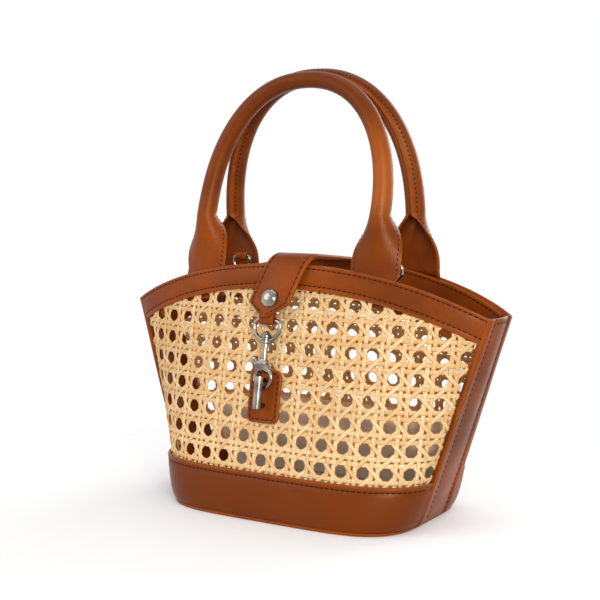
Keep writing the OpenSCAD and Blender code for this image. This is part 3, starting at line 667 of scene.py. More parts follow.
@dataclass(frozen=True)
class BagForm:
    """The outer form of the walls: level sections that are flatter at the base and rounder at the rim."""

    top_w: float = 230.0
    base_w: float = 154.0
    base_d: float = 107.0
    top_d: float = 67.6
    end_h: float = 114.4
    rim_h: float = 140.0
    gusset_base_w: float = 32.8
    gusset_top_w: float = 26.8
    base_tuck: float = 1.6
    tuck_h: float = 10.0
    leather_t: float = 1.6
    bottom_t: float = 2.0
    base_band_h: float = 26.4
    rim_band_h: float = 13.5
    facing_h: float = 16.0
    layer_gap: float = 0.25
    cane_t: float = 1.6
    bow_base: Point2 = (4.8, 2.38)
    bow_top: Point2 = (2.36, 1.07)
    bow_least: Point2 = (1.2, 0.6)

    @property
    def cane_out(self) -> float:
        """Depth of the cane's outer face."""
        return self.leather_t + self.layer_gap

    @property
    def cane_in(self) -> float:
        """Depth of the cane's inner face."""
        return self.cane_out + self.cane_t

    @property
    def facing_out(self) -> float:
        """Depth of the facing's outer face."""
        return self.cane_in + 4 * self.layer_gap

    @property
    def facing_in(self) -> float:
        """Depth of the facing's inner face."""
        return self.facing_out + self.leather_t

    @property
    def lean(self) -> float:
        """Angle by which the broad walls lean inwards."""
        return math.atan2((self.base_d - self.top_d) / 2, self.end_h)

    def tuck(self, z: Any) -> Any:
        """How far the wall is drawn in at its foot."""
        return self.base_tuck * np.maximum(0, 1 - np.asarray(z, float) / self.tuck_h) ** 2

    def half_w(self, z: Any) -> Any:
        """Half the width at a height."""
        return lerp(self.base_w, self.top_w, np.asarray(z, float) / self.end_h) / 2 - self.tuck(z)

    def half_d(self, z: Any) -> Any:
        """Half the depth at a height."""
        return lerp(self.base_d, self.top_d, np.asarray(z, float) / self.end_h) / 2 - self.tuck(z)

    def seam_y(self, z: Any) -> Any:
        """Half the width of a gusset at a height."""
        return lerp(self.gusset_base_w, self.gusset_top_w, np.asarray(z, float) / self.end_h) / 2

    def bow(self, u: Any, z: Any) -> Any:
        """Share of the full depth that the wall has at a place."""
        share = np.asarray(z, float) / self.end_h
        power, root = (np.maximum(least, lerp(base, top, share))
                       for least, base, top in zip(self.bow_least, self.bow_base, self.bow_top))
        return np.maximum(0, 1 - np.abs(u) ** power) ** (1 / root)

    def wall(self, u: Any, z: Any, t: Any) -> Array:
        """Points of the front wall.

        Args:
            u: place from -1 to 1 between the seams.
            z: height.
            t: depth below the outer face of the leather.
        Returns:
            The points, with coordinates on the last axis.
        """
        u, z, t = np.broadcast_arrays(np.asarray(u, float), np.asarray(z, float), np.asarray(t, float))
        y = -lerp(self.seam_y(z), self.half_d(z) - t, self.bow(u, z))
        return np.stack([(self.half_w(z) - t) * u, y, z], axis=-1)

    def normal(self, u: Any, z: Any, t: Any) -> Array:
        """Outward directions of the front wall at the same places."""
        d = 1e-3
        inside = np.clip(np.asarray(u, float), -1 + d, 1 - d)
        along = self.wall(inside + d, z, t) - self.wall(inside - d, z, t)
        up = self.wall(inside, np.asarray(z, float) + d, t) - self.wall(inside, np.asarray(z, float) - d, t)
        return unit(np.cross(along, up))

    def rim_z(self, u: Any) -> Any:
        """Height of the rim."""
        return self.end_h + (self.rim_h - self.end_h) * (1 - np.asarray(u, float) ** 2)

    def rim_u(self, x: float) -> float:
        """Place along the rim of a point with this x."""
        z = self.end_h
        for _ in range(5):
            u = x / float(self.half_w(z))
            z = float(self.rim_z(u))
        return u

    def rim_yaw(self, u: float, t: float) -> float:
        """Angle of the rim's line at a place, seen from above."""
        run = self.wall(u + 0.01, self.rim_z(u), t) - self.wall(u, self.rim_z(u), t)
        return math.atan2(run[1], run[0])

    def seam_u(self, z: float, gap: float) -> float:
        """Place along the wall at a distance from its seam, measured on the outer face."""
        u = 1 - 0.6 * np.linspace(0, 1, 240) ** 2
        return float(np.interp(gap, run_lengths(self.wall(u, z, 0.0)), u))

    @staticmethod
    def stations(count: int) -> Array:
        """Places along the wall, closer together near the seams."""
        return np.sin(np.linspace(math.pi / 2, -math.pi / 2, count))


@dataclass
class Drape:
    """Distances along the level sections of a wall, for webbing that is laid round its corners."""

    form: BagForm
    depth: float
    reach: float = 150.0
    levels: int = 72
    spans: int = 601
    fine: int = 400
    above: float = 3.0

    def __post_init__(self) -> None:
        """Fills the table of places."""
        self.heights = np.linspace(0, self.form.rim_h + self.above, self.levels)
        distances = np.linspace(0, self.reach, self.spans)
        u = np.sin(np.linspace(0, math.pi / 2, self.fine))
        runs = [run_lengths(self.form.wall(u, z, self.depth)) for z in self.heights]
        self.table = np.array([np.interp(distances, run, u) for run in runs])
        self.ends = np.array([run[-1] for run in runs])

    def half(self, z: Any) -> Any:
        """Distance from the middle of the wall to its seam at a height."""
        return np.interp(z, self.heights, self.ends)

    def place(self, distance: Array, z: Array) -> Array:
        """Place along the wall.

        Args:
            distance: distance from the middle of the wall along a level line.
            z: height.
        Returns:
            The place from -1 to 1 between the seams.
        """
        row = np.clip(np.asarray(z) / self.heights[-1] * (self.levels - 1), 0, self.levels - 1.001)
        column = np.clip(np.abs(distance) / self.reach * (self.spans - 1), 0, self.spans - 1.001)
        i, j = row.astype(int), column.astype(int)
        a, b = row - i, column - j
        low = lerp(self.table[i, j], self.table[i, j + 1], b)
        high = lerp(self.table[i + 1, j], self.table[i + 1, j + 1], b)
        return np.sign(distance) * lerp(low, high, a)


def turned(points: Array, side: Side) -> Array:
    """Mirrors front points to the wall that is meant."""
    return np.asarray(points, float) * np.array([1.0, side.value, 1.0])


@dataclass
class Workshop:
    """What every sub-assembly needs: the form, the finishes and the node trees."""

    form: BagForm
    finishes: Finishes
    sewing: Sewing

    def finish(self, piece: Piece, slot: Slot, *nodes: str) -> Piece:
        """Dresses a piece in its slot's finish and ties it to the frame.

        Args:
            piece: the piece.
            slot: the record's slot.
            nodes: CAD nodes that it stands for.
        Returns:
            The same piece.
        """
        piece.data.materials.clear()
        piece.data.materials.append(self.finishes.of[slot])
        return attach(piece, slot, *nodes)

    def sew(self, name: str, rows: Sequence[Row], **sizes: float) -> None:
        """Sews rows of stitches.

        Args:
            name: name of the piece.
            rows: points and surface directions of each row, in millimetres.
            sizes: inputs of the stitch tree in millimetres.
        """
        piece = Maker.lines(name, [(points, normals, {}) for points, normals in rows])
        values: dict[str, Any] = {key.capitalize(): value * MM for key, value in sizes.items()}
        values["Thread"] = self.finishes.thread
        Sewing.run(piece, self.sewing.stitches, values)
        attach(piece, Slot.LEATHER)


# Sub-assemblies


@dataclass
class CaneWall:
    """One broad wall of six-way cane webbing."""

    shop: Workshop
    side: Side
    pitch: float = 12.5
    pair: float = 1.7
    strand_w: float = 2.55
    diagonal_w: float = 2.25
    strand_t: float = 0.62
    layer: float = 0.5
    pair_lift: float = 0.62
    diagonal_lift: float = 1.15
    samples: int = 9
    tuck: float = 4.0
    seam_cover: float = 1.0
    top_cover: float = 2.6
    seed: int = 7
    stray: float = 0.24
    stray_turns: Point2 = (4.0, 9.0)
    stray_start: float = 6.0
    reach: float = 137.5

    def __post_init__(self) -> None:
        """Measures the wall at the middle of the cane."""
        form = self.shop.form
        self.depth = form.cane_out + form.cane_t / 2
        self.drape = Drape(form, self.depth)
        self.rise = self.pitch * math.cos(form.lean)

    def inside(self, x: Array, z: Array) -> Array:
        """Tells which points lie between the bands and the seams."""
        form = self.shop.form
        u = self.drape.place(x, z)
        return ((np.abs(x) < self.drape.half(z) - self.seam_cover)
                & (z > form.base_band_h - self.tuck) & (z < form.rim_z(u) - self.top_cover))

    def crossing(self, d: Array) -> Array:
        """Lift of a strand that passes one strand of the other pair above and the next below."""
        near = (np.asarray(d) + self.pitch / 2) % self.pitch - self.pitch / 2
        wave = -np.sin(math.pi * near / (2 * self.pair))
        return np.where(np.abs(near) < 2 * self.pair, wave, 0) * self.layer * self.pair_lift

    def upright(self, column: int, which: int) -> Strand:
        """A strand of an upright pair: distance from the middle, height and lift."""
        form = self.shop.form
        z = np.arange(form.base_band_h - self.tuck, form.rim_h, self.rise / self.samples)
        x = np.full_like(z, column * self.pitch + (which - 0.5) * 2 * self.pair)
        d = (z - form.base_band_h) / self.rise * self.pitch
        return x, z, (1 - 2 * which) * self.crossing(d)

    def level(self, row: int, which: int) -> Strand:
        """A strand of a level pair: distance from the middle, height and lift."""
        x = np.arange(-self.reach, self.reach, self.pitch / self.samples)
        up = (row * self.pitch + (which - 0.5) * 2 * self.pair) * self.rise / self.pitch
        return x, np.full_like(x, self.shop.form.base_band_h + up), (2 * which - 1) * self.crossing(x)

    def diagonal(self, line: int, way: int) -> Strand:
        """A diagonal strand: distance, height and lift. It crosses its partner between two gaps."""
        x = np.arange(-self.reach, self.reach, self.pitch / self.samples)
        up = way * (x - (line + 0.5) * self.pitch)
        z = self.shop.form.base_band_h + up * self.rise / self.pitch
        return x, z, -way * self.layer * self.diagonal_lift * np.cos(2 * math.pi * x / self.pitch)

    def runs(self, strands: Sequence[Strand], draw: random.Random) -> list[Run]:
        """Bends flat strands onto the wall and cuts them to its outline.

        Args:
            strands: distance from the middle, height and lift of each strand.
            draw: the source of each strand's tone and small shifts.
        Returns:
            Points, directions and tone of each stretch.
        """
        form = self.shop.form
        made = []
        for x, z, lift in strands:
            tone = draw.random()
            stray = draw.uniform(-self.stray, self.stray)
            turns = np.linspace(0, draw.uniform(*self.stray_turns), len(x))
            wave = stray * np.sin(turns + draw.uniform(0, self.stray_start))
            along_z = abs(z[-1] - z[0]) > abs(x[-1] - x[0])
            x, z = (x + wave, z) if along_z else (x, z + wave)
            keep = self.inside(x, z)
            if keep.sum() < 3:
                continue
            u = self.drape.place(x[keep], z[keep])
            normals = form.normal(u, z[keep], self.depth)
            points = form.wall(u, z[keep], self.depth) + normals * lift[keep][:, None]
            made.append((turned(points, self.side), turned(normals, self.side), {"tone": tone}))
        return made

    def weave(self, name: str, strands: Sequence[Strand], draw: random.Random, width: float,
              *nodes: str) -> None:
        """Makes strands of cane of one width.

        Args:
            name: name of the piece.
            strands: distance from the middle, height and lift of each strand.
            draw: the source of each strand's tone and small shifts.
            width: width of a strand.
            nodes: CAD nodes that the piece stands for.
        """
        piece = Maker.lines(f"{self.side.label}_cane_{name}", self.runs(strands, draw))
        cane = self.shop.finishes.of[Slot.CANE]
        values = {"Width": width * MM, "Thickness": self.strand_t * MM, "Cane": cane}
        Sewing.run(piece, self.shop.sewing.strands, values)
        attach(piece, Slot.CANE, *nodes)

    def build(self) -> None:
        """Weaves the wall."""
        form = self.shop.form
        draw = random.Random(self.seed + self.side.value)
        columns = int(self.reach / self.pitch)
        rows = int((form.rim_h - form.base_band_h) / self.rise) + 1
        pairs = [self.upright(i, k) for i in range(-columns, columns + 1) for k in (0, 1)]
        pairs += [self.level(j, k) for j in range(rows + 1) for k in (0, 1)]
        reach = columns + rows + 2
        crossed = [self.diagonal(n, way) for way in (-1, 1) for n in range(-reach, reach)]
        self.weave("weave", pairs, draw, self.strand_w, f"{self.side.label}_cane_panel")
        self.weave("diagonals", crossed, draw, self.diagonal_w)


@dataclass
class Bands:
    """The leather bands of one wall: along the rim, inside it and round the base."""

    shop: Workshop
    side: Side
    count: int = 97
    sharp_deg: float = 60.0
    row_points: int = 240
    row_reach: float = 0.985
    stitch_top: float = 1.9
    stitch_low: float = 2.6
    stitch_base: float = 2.9
    stitch_inner: float = 2.0
    # Strength of the painted shade on the base band.
    base_shade: float = 0.8

    def rim(self) -> Profile:
        """Section of the rim band: folded at both edges, with a groove for each seam."""
        low, thick, out = -self.shop.form.rim_band_h, self.shop.form.leather_t, self.shop.form.facing_out
        return [(thick, low + 0.5, 0.2), (1.15, low + 0.05, 0.8), (0.5, low, 1.0), (0.05, low + 0.45, 0.8),
                (-0.16, low + 1.1, 0.3), (-0.12, low + 1.9, 0), (0.16, low + 2.45, 0), (0.16, low + 2.75, 0),
                (-0.14, low + 3.3, 0), (-0.3, low + 5.2, 0), (-0.36, low / 2, 0), (-0.3, -4.0, 0),
                (-0.12, -2.7, 0), (0.12, -2.1, 0), (0.12, -1.8, 0), (-0.1, -1.2, 0.2), (-0.02, -0.5, 0.6),
                (0.35, -0.02, 1.0), (0.9, 0.12, 1.0), (1.45, -0.1, 0.7), (1.75, -0.8, 0.2), (3.4, -1.0, 0.0),
                (out - 0.1, -1.3, 0), (out - 0.1, -2.2, 0), (thick + 0.1, -2.2, 0), (thick, low / 2, 0)]

    def facing(self) -> Profile:
        """Section of the facing: a turned top edge, a groove and a folded foot."""
        out, deep, foot = self.shop.form.facing_out, self.shop.form.facing_in, -self.shop.form.facing_h
        return [(out, foot + 0.4, 0), (out, -1.2, 0), (out + 0.1, -0.4, 0.5), (out + 0.5, 0.0, 1.0),
                (out + 1.1, -0.05, 1.0), (deep - 0.05, -0.5, 0.6), (deep + 0.05, -1.4, 0.1),
                (deep - 0.12, -2.0, 0), (deep + 0.05, -2.7, 0), (deep + 0.2, -8.0, 0),
                (deep + 0.1, foot + 1.0, 0), (deep - 0.1, foot + 0.2, 0.6), (deep - 0.8, foot, 0.8)]

    def base(self) -> Profile:
        """Section of the base band: a folded top edge, a groove and a foot that tucks under."""
        form = self.shop.form
        high, low, thick = form.base_band_h, form.bottom_t + 0.1, form.leather_t
        return [(thick, low, 0), (thick, 10.0, 0), (thick, high - 0.5, 0.2), (1.1, high - 0.02, 0.9),
                (0.45, high, 1.0), (0.02, high - 0.5, 0.8), (-0.18, high - 1.2, 0.3), (-0.14, high - 2.1, 0),
                (0.16, high - 2.75, 0), (0.16, high - 3.05, 0), (-0.14, high - 3.7, 0),
                (-0.34, high - 6.0, 0), (-0.45, 16.0, 0), (-0.42, 12.0, 0), (-0.3, 8.5, 0), (-0.2, 5.5, 0),
                (-0.05, 3.6, 0), (0.22, 2.7, 0), (0.4, low, 0)]

    def strip(self, name: str, node: str, profile: Profile, level: Callable[[Array], Array]) -> Piece:
        """Lofts a band along the wall.

        Args:
            name: middle part of the piece's name.
            node: last part of the name of the CAD node that it stands for.
            profile: depth, height and share of worn edge of each point of its section.
            level: height from which the section is measured, at each place.
        Returns:
            The finished band.
        """
        form = self.shop.form
        u = form.stations(self.count)
        depth, height, edge = (np.array(column) for column in zip(*profile))
        rings = form.wall(u[:, None], level(u)[:, None] + height[None, :], depth[None, :])
        label = self.side.label
        piece = Maker.loft(f"{label}_{name}_leather", turned(rings, self.side), self.sharp_deg, edge)
        return self.shop.finish(piece, Slot.LEATHER, f"{label}_{node}")

    def row(self, level: Callable[[Array], Array], height: float, depth: float, inner: bool = False) -> Row:
        """A row for stitches along the wall, on its outer or its inner side."""
        form = self.shop.form
        u = np.linspace(-self.row_reach, self.row_reach, self.row_points)
        z = level(u) + height
        normals = form.normal(u, z, depth) * (-1 if inner else 1)
        return turned(form.wall(u, z, depth), self.side), turned(normals, self.side)

    def build(self) -> None:
        """Builds the three bands and sews them."""
        form = self.shop.form
        self.strip("rim", "rim_band", self.rim(), form.rim_z)
        self.strip("facing", "rim_facing", self.facing(), form.rim_z)
        band = self.strip("base", "base_band", self.base(), np.zeros_like)
        # Painted shade: the base band is darkened all over.
        Maker.paint(band, "painted_shade", np.full(len(band.data.vertices), self.base_shade))
        self.shop.sew(f"{self.side.label}_band_stitches", [
            self.row(form.rim_z, -self.stitch_top, 0.1),
            self.row(form.rim_z, -form.rim_band_h + self.stitch_low, 0.12),
            self.row(np.zeros_like, form.base_band_h - self.stitch_base, 0.12),
            self.row(form.rim_z, -self.stitch_inner, form.facing_in - 0.05, inner=True)])


@dataclass
class Gusset:
    """One leather end of the bag, with a folded bead along both seams."""

    shop: Workshop
    right: bool
    swell: float = 2.4
    swell_deg: float = 130.0
    swell_edge: float = 0.26
    swell_power: float = 1.2
    bead_w: float = 3.4
    bead_h: float = 0.7
    wrap: float = 2.2
    sharp_deg: float = 60.0
    stitch_in: float = 1.7
    top_stitch: float = 2.6
    top_stitch_w: float = 8.5

    def swell_at(self, z: Any) -> Any:
        """How far the middle of the panel stands out at a height."""
        return self.swell * np.sin(np.radians(ramp(z, 0.0, self.shop.form.end_h) * self.swell_deg))

    def bulge(self, y: Any, half: float, z: float) -> Any:
        """How far a panel of the given half width stands out at a place between its beads."""
        share = np.cos(math.pi / 2 * y / half) ** self.swell_power
        return lerp(self.swell_edge, 1.0, share) * self.swell_at(z)

    def section(self, z: float) -> tuple[Array, list[float]]:
        """A level section of the right gusset.

        Args:
            z: height.
        Returns:
            Its points and their share of worn edge.
        """
        form = self.shop.form
        g, w, s = float(form.seam_y(z)), float(form.half_w(z)), float(self.swell_at(z))
        e, f = g - self.bead_w, g - self.bead_w - self.bead_h
        thick, high, back = form.leather_t, self.bead_h, w - form.cane_in
        laps = [form.wall(form.seam_u(z, share * self.wrap), z, t)[:2]
                for share, t in ((1.0, thick + 0.1), (1.0, 0.1), (0.97, -0.4), (0.75, -0.8), (0.4, -0.95))]
        bead = [(w + 0.85, -g), (w + high + 0.2, -g + 1.1), (w + high + 0.12 * s, -g + 2.1),
                (w + high * 0.75 + 0.2 * s, -e), (w + 0.1 + 0.22 * s, -e + 0.5), (w - 0.15 + 0.24 * s, -f)]
        half = [tuple(lap) for lap in laps] + bead
        panel = [(w + float(self.bulge(y, f, z)), y) for y in np.linspace(-f, f, 11)[1:-1]]
        outer = half + panel + [(x, -y) for x, y in reversed(half)]
        inner = [(back, g), (back, e)] + [(x - thick, y) for x, y in reversed(panel)]
        inner += [(back, -e), (back, -g)]
        wear = [0.0, 0.2, 0.8, 0.7, 0.4, 0.6, 0.3, 0.1, 0.0, 0.0, 0.0]
        points = np.array([(x, y, z) for x, y in outer + inner])
        return points, wear + [0.0] * len(panel) + wear[::-1] + [0.0] * len(inner)

    @staticmethod
    def rounded(ring: Array, z: float, inset: float) -> Array:
        """A copy of a ring, drawn in and set to a height, for the turned top edge."""
        away = ring[:, 0] - ring[:, 0].mean()
        share = np.minimum(1, np.abs(away) / np.abs(away).max())
        moved = ring.copy()
        moved[:, 0] += np.where(away > 0, -inset, inset) * share
        moved[:, 2] = z
        return moved

    def place(self, points: Array) -> Array:
        """Turns right-hand points to the end that is meant."""
        return np.asarray(points) * (1.0 if self.right else HALF_TURN)

    def row(self, x: Any, y: Any, z: Any) -> Row:
        """A row for stitches on the outer face."""
        points = np.stack(np.broadcast_arrays(x, y, z), axis=1)
        return self.place(points), self.place(np.tile([1.0, 0.0, 0.0], (len(points), 1)))

    def build(self) -> None:
        """Builds the gusset and sews its seams and its top edge."""
        form = self.shop.form
        label = "right" if self.right else "left"
        top = form.end_h
        levels = np.concatenate([[form.bottom_t + 0.1, 4.0, 7.0, 10.0], np.linspace(14, top - 1.2, 36)])
        sections = [self.section(z) for z in levels]
        rings = [points for points, _ in sections]
        rings += [self.rounded(rings[-1], top - 0.3, 0.25), self.rounded(rings[-1], top, 0.7)]
        wear = sections[0][1]
        piece = Maker.loft(f"{label}_gusset_leather", self.place(np.array(rings)), self.sharp_deg, wear)
        self.shop.finish(piece, Slot.LEATHER, f"{label}_gusset")
        z = np.linspace(form.bottom_t + 4, top - 3, 90)
        seam = form.seam_y(z) - self.bead_w - self.stitch_in
        x = form.half_w(z) + 0.02 + 0.23 * self.swell_at(z)
        rows = [self.row(x, -seam, z), self.row(x, seam, z)]
        y = np.linspace(-self.top_stitch_w, self.top_stitch_w, 30)
        level = top - self.top_stitch
        half = float(form.seam_y(top)) - self.bead_w - self.bead_h
        rows.append(self.row(form.half_w(level) + self.bulge(y, half, level) + 0.05, y, level))
        self.shop.sew(f"{label}_gusset_stitches", rows)


@dataclass
class Foot:
    """The leather bottom with its welt, the board above it and the cloth on the rear wall."""

    shop: Workshop
    board_t: float = 2.4
    lining_h: float = 52.0
    lining_t: float = 1.0
    lining_u: float = 0.985
    lining_gap: float = 0.1
    ripple: float = 0.12
    columns: int = 81
    rows: int = 14
    corners: int = 61
    sharp_deg: float = 50.0

    def plate(self, name: str, steps: Profile, shape_z: float) -> Piece:
        """A plate with the bag's outline.

        Args:
            name: name of the piece.
            steps: height, depth and share of worn edge of each ring of its edge.
            shape_z: height at which the outline is taken.
        Returns:
            The plate.
        """
        form = self.shop.form
        rings = []
        for z, t, _ in steps:
            front = form.wall(form.stations(self.corners), shape_z, t)
            ring = np.concatenate([front, front * HALF_TURN])
            ring[:, 2] = z
            rings.append(ring)
        wear = np.array([edge for _, _, edge in steps], float)
        return Maker.loft(name, np.array(rings), self.sharp_deg, wear[:, None])

    def lining(self, foot: float) -> None:
        """Hangs the cloth on the inner side of the rear wall."""
        form = self.shop.form
        u = (self.lining_u * form.stations(self.columns))[:, None]
        z = np.linspace(foot + 0.3, self.lining_h, self.rows)[None, :]
        ripple = self.ripple * np.sin(u * 23 + z * 0.11)
        outer = form.wall(u, z, form.facing_out + self.lining_gap + ripple)
        inner = form.wall(u, z, form.facing_out + self.lining_t - self.lining_gap + ripple)
        rings = np.concatenate([outer, inner[:, ::-1]], axis=1)
        cloth = Maker.loft("rear_lining_cloth", turned(rings, Side.REAR), self.sharp_deg)
        self.shop.finish(cloth, Slot.CLOTH, "rear_lining")

    def build(self) -> None:
        """Builds the bottom, the board and the lining."""
        top, inside = self.shop.form.bottom_t, self.shop.form.facing_out
        floor = top + self.board_t
        welt = [(0.0, 2.2, 0), (0.0, 1.0, 0.2), (0.12, 0.3, 0.5), (0.5, -0.15, 0.6), (1.0, -0.35, 0.5),
                (1.5, -0.2, 0.5), (top - 0.05, 0.3, 0.2), (top - 0.02, 1.6, 0)]
        self.shop.finish(self.plate("bottom_leather", welt, 0.0), Slot.LEATHER, "bottom_panel")
        edge = [(top + 0.02, inside + 0.5, 0), (top + 0.5, inside + 0.1, 0), (floor - 0.5, inside + 0.1, 0),
                (floor - 0.1, inside + 0.4, 0), (floor, inside + 1.2, 0)]
        self.shop.finish(self.plate("base_board_cloth", edge, top), Slot.CLOTH, "base_board")
        self.lining(floor)


@dataclass(frozen=True)
class StripCut:
    """A section of a rolled strip: the middle of its outer face, two directions, its angle and its width."""

    spine: Array
    across: Array
    out: Array
    turn: float
    width: float

    @property
    def r(self) -> float:
        """Radius that the strip is rolled to."""
        return self.width / math.radians(self.turn)

    def mirrored(self) -> "StripCut":
        """The same section on the other side of the bag."""
        spine, across, out = (v * MIRROR_X for v in (self.spine, self.across, self.out))
        return StripCut(spine, across, out, self.turn, self.width)


@dataclass
class Handle:
    """A strip of leather that leaves the rim as a flat tab and is rolled and sewn into a tube above."""

    shop: Workshop
    side: Side
    span: float
    top: float
    lean: float
    tab_x: float
    shift: Point2
    # Strength of the painted light on the right leg.
    leg_light: float
    strip_w: float = 32.5
    foot_w: float = 28.6
    top_w: float = 26.6
    tab_h: float = 32.0
    tab_layer: float = 1.25
    foot_in: float = 1.0
    foot_layers: Point2 = (1.1, 2.1)
    foot_share: float = 0.94
    seam_h: float = 2.0
    seam_fill: float = 0.9
    seam_deg: Point2 = (172.0, 188.0)
    lip_dip: float = 0.35
    lip_power: int = 6
    tube_turn: float = 330.0
    tab_turn: float = 40.0
    power: float = 2.2
    rise_power: float = 0.9
    roll_power: float = 2.2
    shut_turn: float = 290.0
    shut_over: float = 20.0
    stitch_in: float = 2.1
    stitch_sink: float = 0.1
    # Heights over which the painted shade on the top of the arch fades in, and roll angles over which the
    # painted shade fills the hollow of the roll.
    top_shade: Point2 = (185.0, 238.0)
    hollow: Point2 = (60.0, 180.0)
    # Height ranges over which the painted light on the right leg fades in and out.
    leg_light_low: Point2 = (158.0, 176.0)
    leg_light_high: Point2 = (222.0, 192.0)
    skin: int = 31
    under: int = 21
    tab_rings: int = 44
    arch_rings: int = 46
    sharp_deg: float = 75.0

    @property
    def tube_r(self) -> float:
        """Radius of the tube."""
        return self.strip_w / (2 * math.pi)

    def ring(self, cut: StripCut) -> Array:
        """The points of a section of the strip: its outer face, then its inner face or its closed seam."""
        r = cut.r
        shut = ramp(cut.turn, self.shut_turn, self.tube_turn)

        def arc(start: float, end: float, count: int) -> Array:
            """Points of a round arc of radius one, from the outer side."""
            a = np.radians(np.linspace(start, end, count))
            return np.stack([np.sin(a), np.cos(a)], axis=1)

        outer = r * arc(-cut.turn / 2, cut.turn / 2, self.skin)
        inner = (r - self.shop.form.leather_t) * arc(cut.turn / 2, -cut.turn / 2, self.under)
        dip = np.cos(np.linspace(-math.pi / 2, math.pi / 2, self.under)) ** self.lip_power
        seam_r = r + self.seam_h * self.seam_fill * (1 - self.lip_dip * dip)
        seam = seam_r[:, None] * arc(*self.seam_deg, self.under)
        flat = np.concatenate([outer, lerp(inner, seam, shut)])
        return cut.spine - r * cut.out + flat[:, :1] * cut.across + flat[:, 1:] * cut.out

    def seam_row(self, cuts: Sequence[StripCut], end: int) -> Row:
        """A row for stitches on the outer face, beside one edge of the strip."""
        points, normals = [], []
        for cut in cuts:
            a = end * (math.radians(cut.turn / 2) - self.stitch_in / cut.r)
            out = math.sin(a) * cut.across + math.cos(a) * cut.out
            points.append(cut.spine - cut.r * cut.out + (cut.r - self.stitch_sink) * out)
            normals.append(out)
        return turned(np.array(points), self.side), turned(np.array(normals), self.side)

    def arch(self, angle: float, u: float, shift: Array) -> Array:
        """A point of the tube's middle line.

        Args:
            angle: angle from the right, half a turn at the left tab's end.
            u: place of the foot on the rim.
            shift: side shift of the foot and of the top.
        Returns:
            The point.
        """
        form = self.shop.form
        c, s = math.cos(angle), math.sin(angle)
        start = float(form.rim_z(u)) + self.tab_h
        z = start + (self.top - start) * abs(s) ** (2 / self.power)
        foot = -form.wall(u, form.rim_z(u), form.leather_t)[1] - self.tube_r
        up = ramp(z, start, self.top) ** self.rise_power
        x = lerp(shift[0], shift[1], up) + math.copysign(self.span * abs(c) ** (2 / self.power), c)
        return np.array([x, -lerp(foot, self.lean, up), z])

    def half(self, shift: Array) -> list[StripCut]:
        """The sections of the left half, from above its foot to the top of the arch."""
        form = self.shop.form
        u0 = form.rim_u(shift[0] - self.tab_x)
        depth = form.leather_t * self.tab_layer
        foot = form.wall(u0, form.rim_z(u0), depth)
        yaw = form.rim_yaw(u0, depth)
        front = np.array([0, -1.0, 0])
        first = self.arch(math.pi, u0, shift) + front * self.tube_r
        made = []
        for s in np.linspace(0, 1, self.tab_rings + 1)[1:]:
            turn = lerp(self.tab_turn, self.tube_turn, s ** self.roll_power)
            w = yaw * (1 - s)
            across, out = np.array([math.cos(w), math.sin(w), 0]), np.array([math.sin(w), -math.cos(w), 0])
            made.append(StripCut(lerp(foot, first, s), across, out, turn, lerp(self.foot_w, self.strip_w, s)))
        for j in range(1, self.arch_rings + 1):
            a = math.pi * (1 - 0.5 * j / self.arch_rings)
            q = unit(self.arch(a - 0.02, u0, shift) - self.arch(a + 0.02, u0, shift))
            out = unit(front - np.dot(front, q) * q)
            width = lerp(self.strip_w, self.top_w, j / self.arch_rings)
            spine = self.arch(a, u0, shift) + self.tube_r * width / self.strip_w * out
            made.append(StripCut(spine, np.cross(q, out), out, self.tube_turn, width))
        return made

    def cuts(self) -> list[StripCut]:
        """All sections of the front handle above its feet, from the left one to the right one."""
        right = self.half(-np.array(self.shift))[:-1]
        return self.half(np.array(self.shift)) + [cut.mirrored() for cut in reversed(right)]

    def foot_ring(self, x: float) -> Array:
        """The strip's left end, between the rim band and the facing."""
        form = self.shop.form
        reach = self.foot_w / 2 / float(form.half_w(form.rim_h)) * self.foot_share

        def face(end: float, count: int, layers: float) -> Array:
            """One face of the end, at a depth counted in layers of leather."""
            u = form.rim_u(x) + np.linspace(-end, end, count)
            return form.wall(u, form.rim_z(u) - self.foot_in, form.leather_t * layers)

        outer, inner = self.foot_layers
        return np.concatenate([face(reach, self.skin, outer), face(-reach, self.under, inner)])

    def age(self, piece: Piece, rings: Array, turns: Array) -> None:
        """Paints shade over the top of the arch and into the hollow of each roll, and a paler light on the
        right leg.

        Args:
            piece: the handle.
            rings: its sections in their places.
            turns: the angle that each section is rolled over.
        """
        x, z = rings[..., 0], rings[..., 2]
        # Painted shade: darker over the top of the arch, and on the inner face in the hollow of a roll that
        # is not yet shut.
        top_shade = ramp(z, *self.top_shade)
        painted_shade = top_shade * top_shade * (3 - 2 * top_shade)
        hollow = ramp(turns, *self.hollow) * (turns < self.shut_turn + self.shut_over)
        painted_shade[:, self.skin:] = np.maximum(painted_shade[:, self.skin:], hollow[:, None])
        Maker.paint(piece, "painted_shade", painted_shade)
        # Painted light: paler on the right leg.
        leg = ramp(z, *self.leg_light_low) * ramp(z, *self.leg_light_high) * (x > 0)
        Maker.paint(piece, "painted_leg_light", self.leg_light * leg)

    def build(self) -> None:
        """Builds the handle and sews its seam."""
        cuts = self.cuts()
        first = self.foot_ring(self.shift[0] - self.tab_x)
        last = self.foot_ring(-self.shift[0] - self.tab_x) * MIRROR_X
        rings = turned(np.array([first] + [self.ring(cut) for cut in cuts] + [last]), self.side)
        edge = np.zeros(self.skin + self.under)
        edge[[0, self.skin - 1]] = 1.0
        edge[[self.skin, -1]] = 0.8
        piece = Maker.loft(f"{self.side.label}_handle_leather", rings, self.sharp_deg, edge)
        self.age(piece, rings, np.array([0.0] + [cut.turn for cut in cuts] + [0.0]))
        self.shop.finish(piece, Slot.LEATHER, f"{self.side.label}_handle")
        rows = [self.seam_row(cuts, end) for end in (-1, 1)]
        self.shop.sew(f"{self.side.label}_handle_stitches", rows, height=0.36, pitch=2.6, length=1.9)


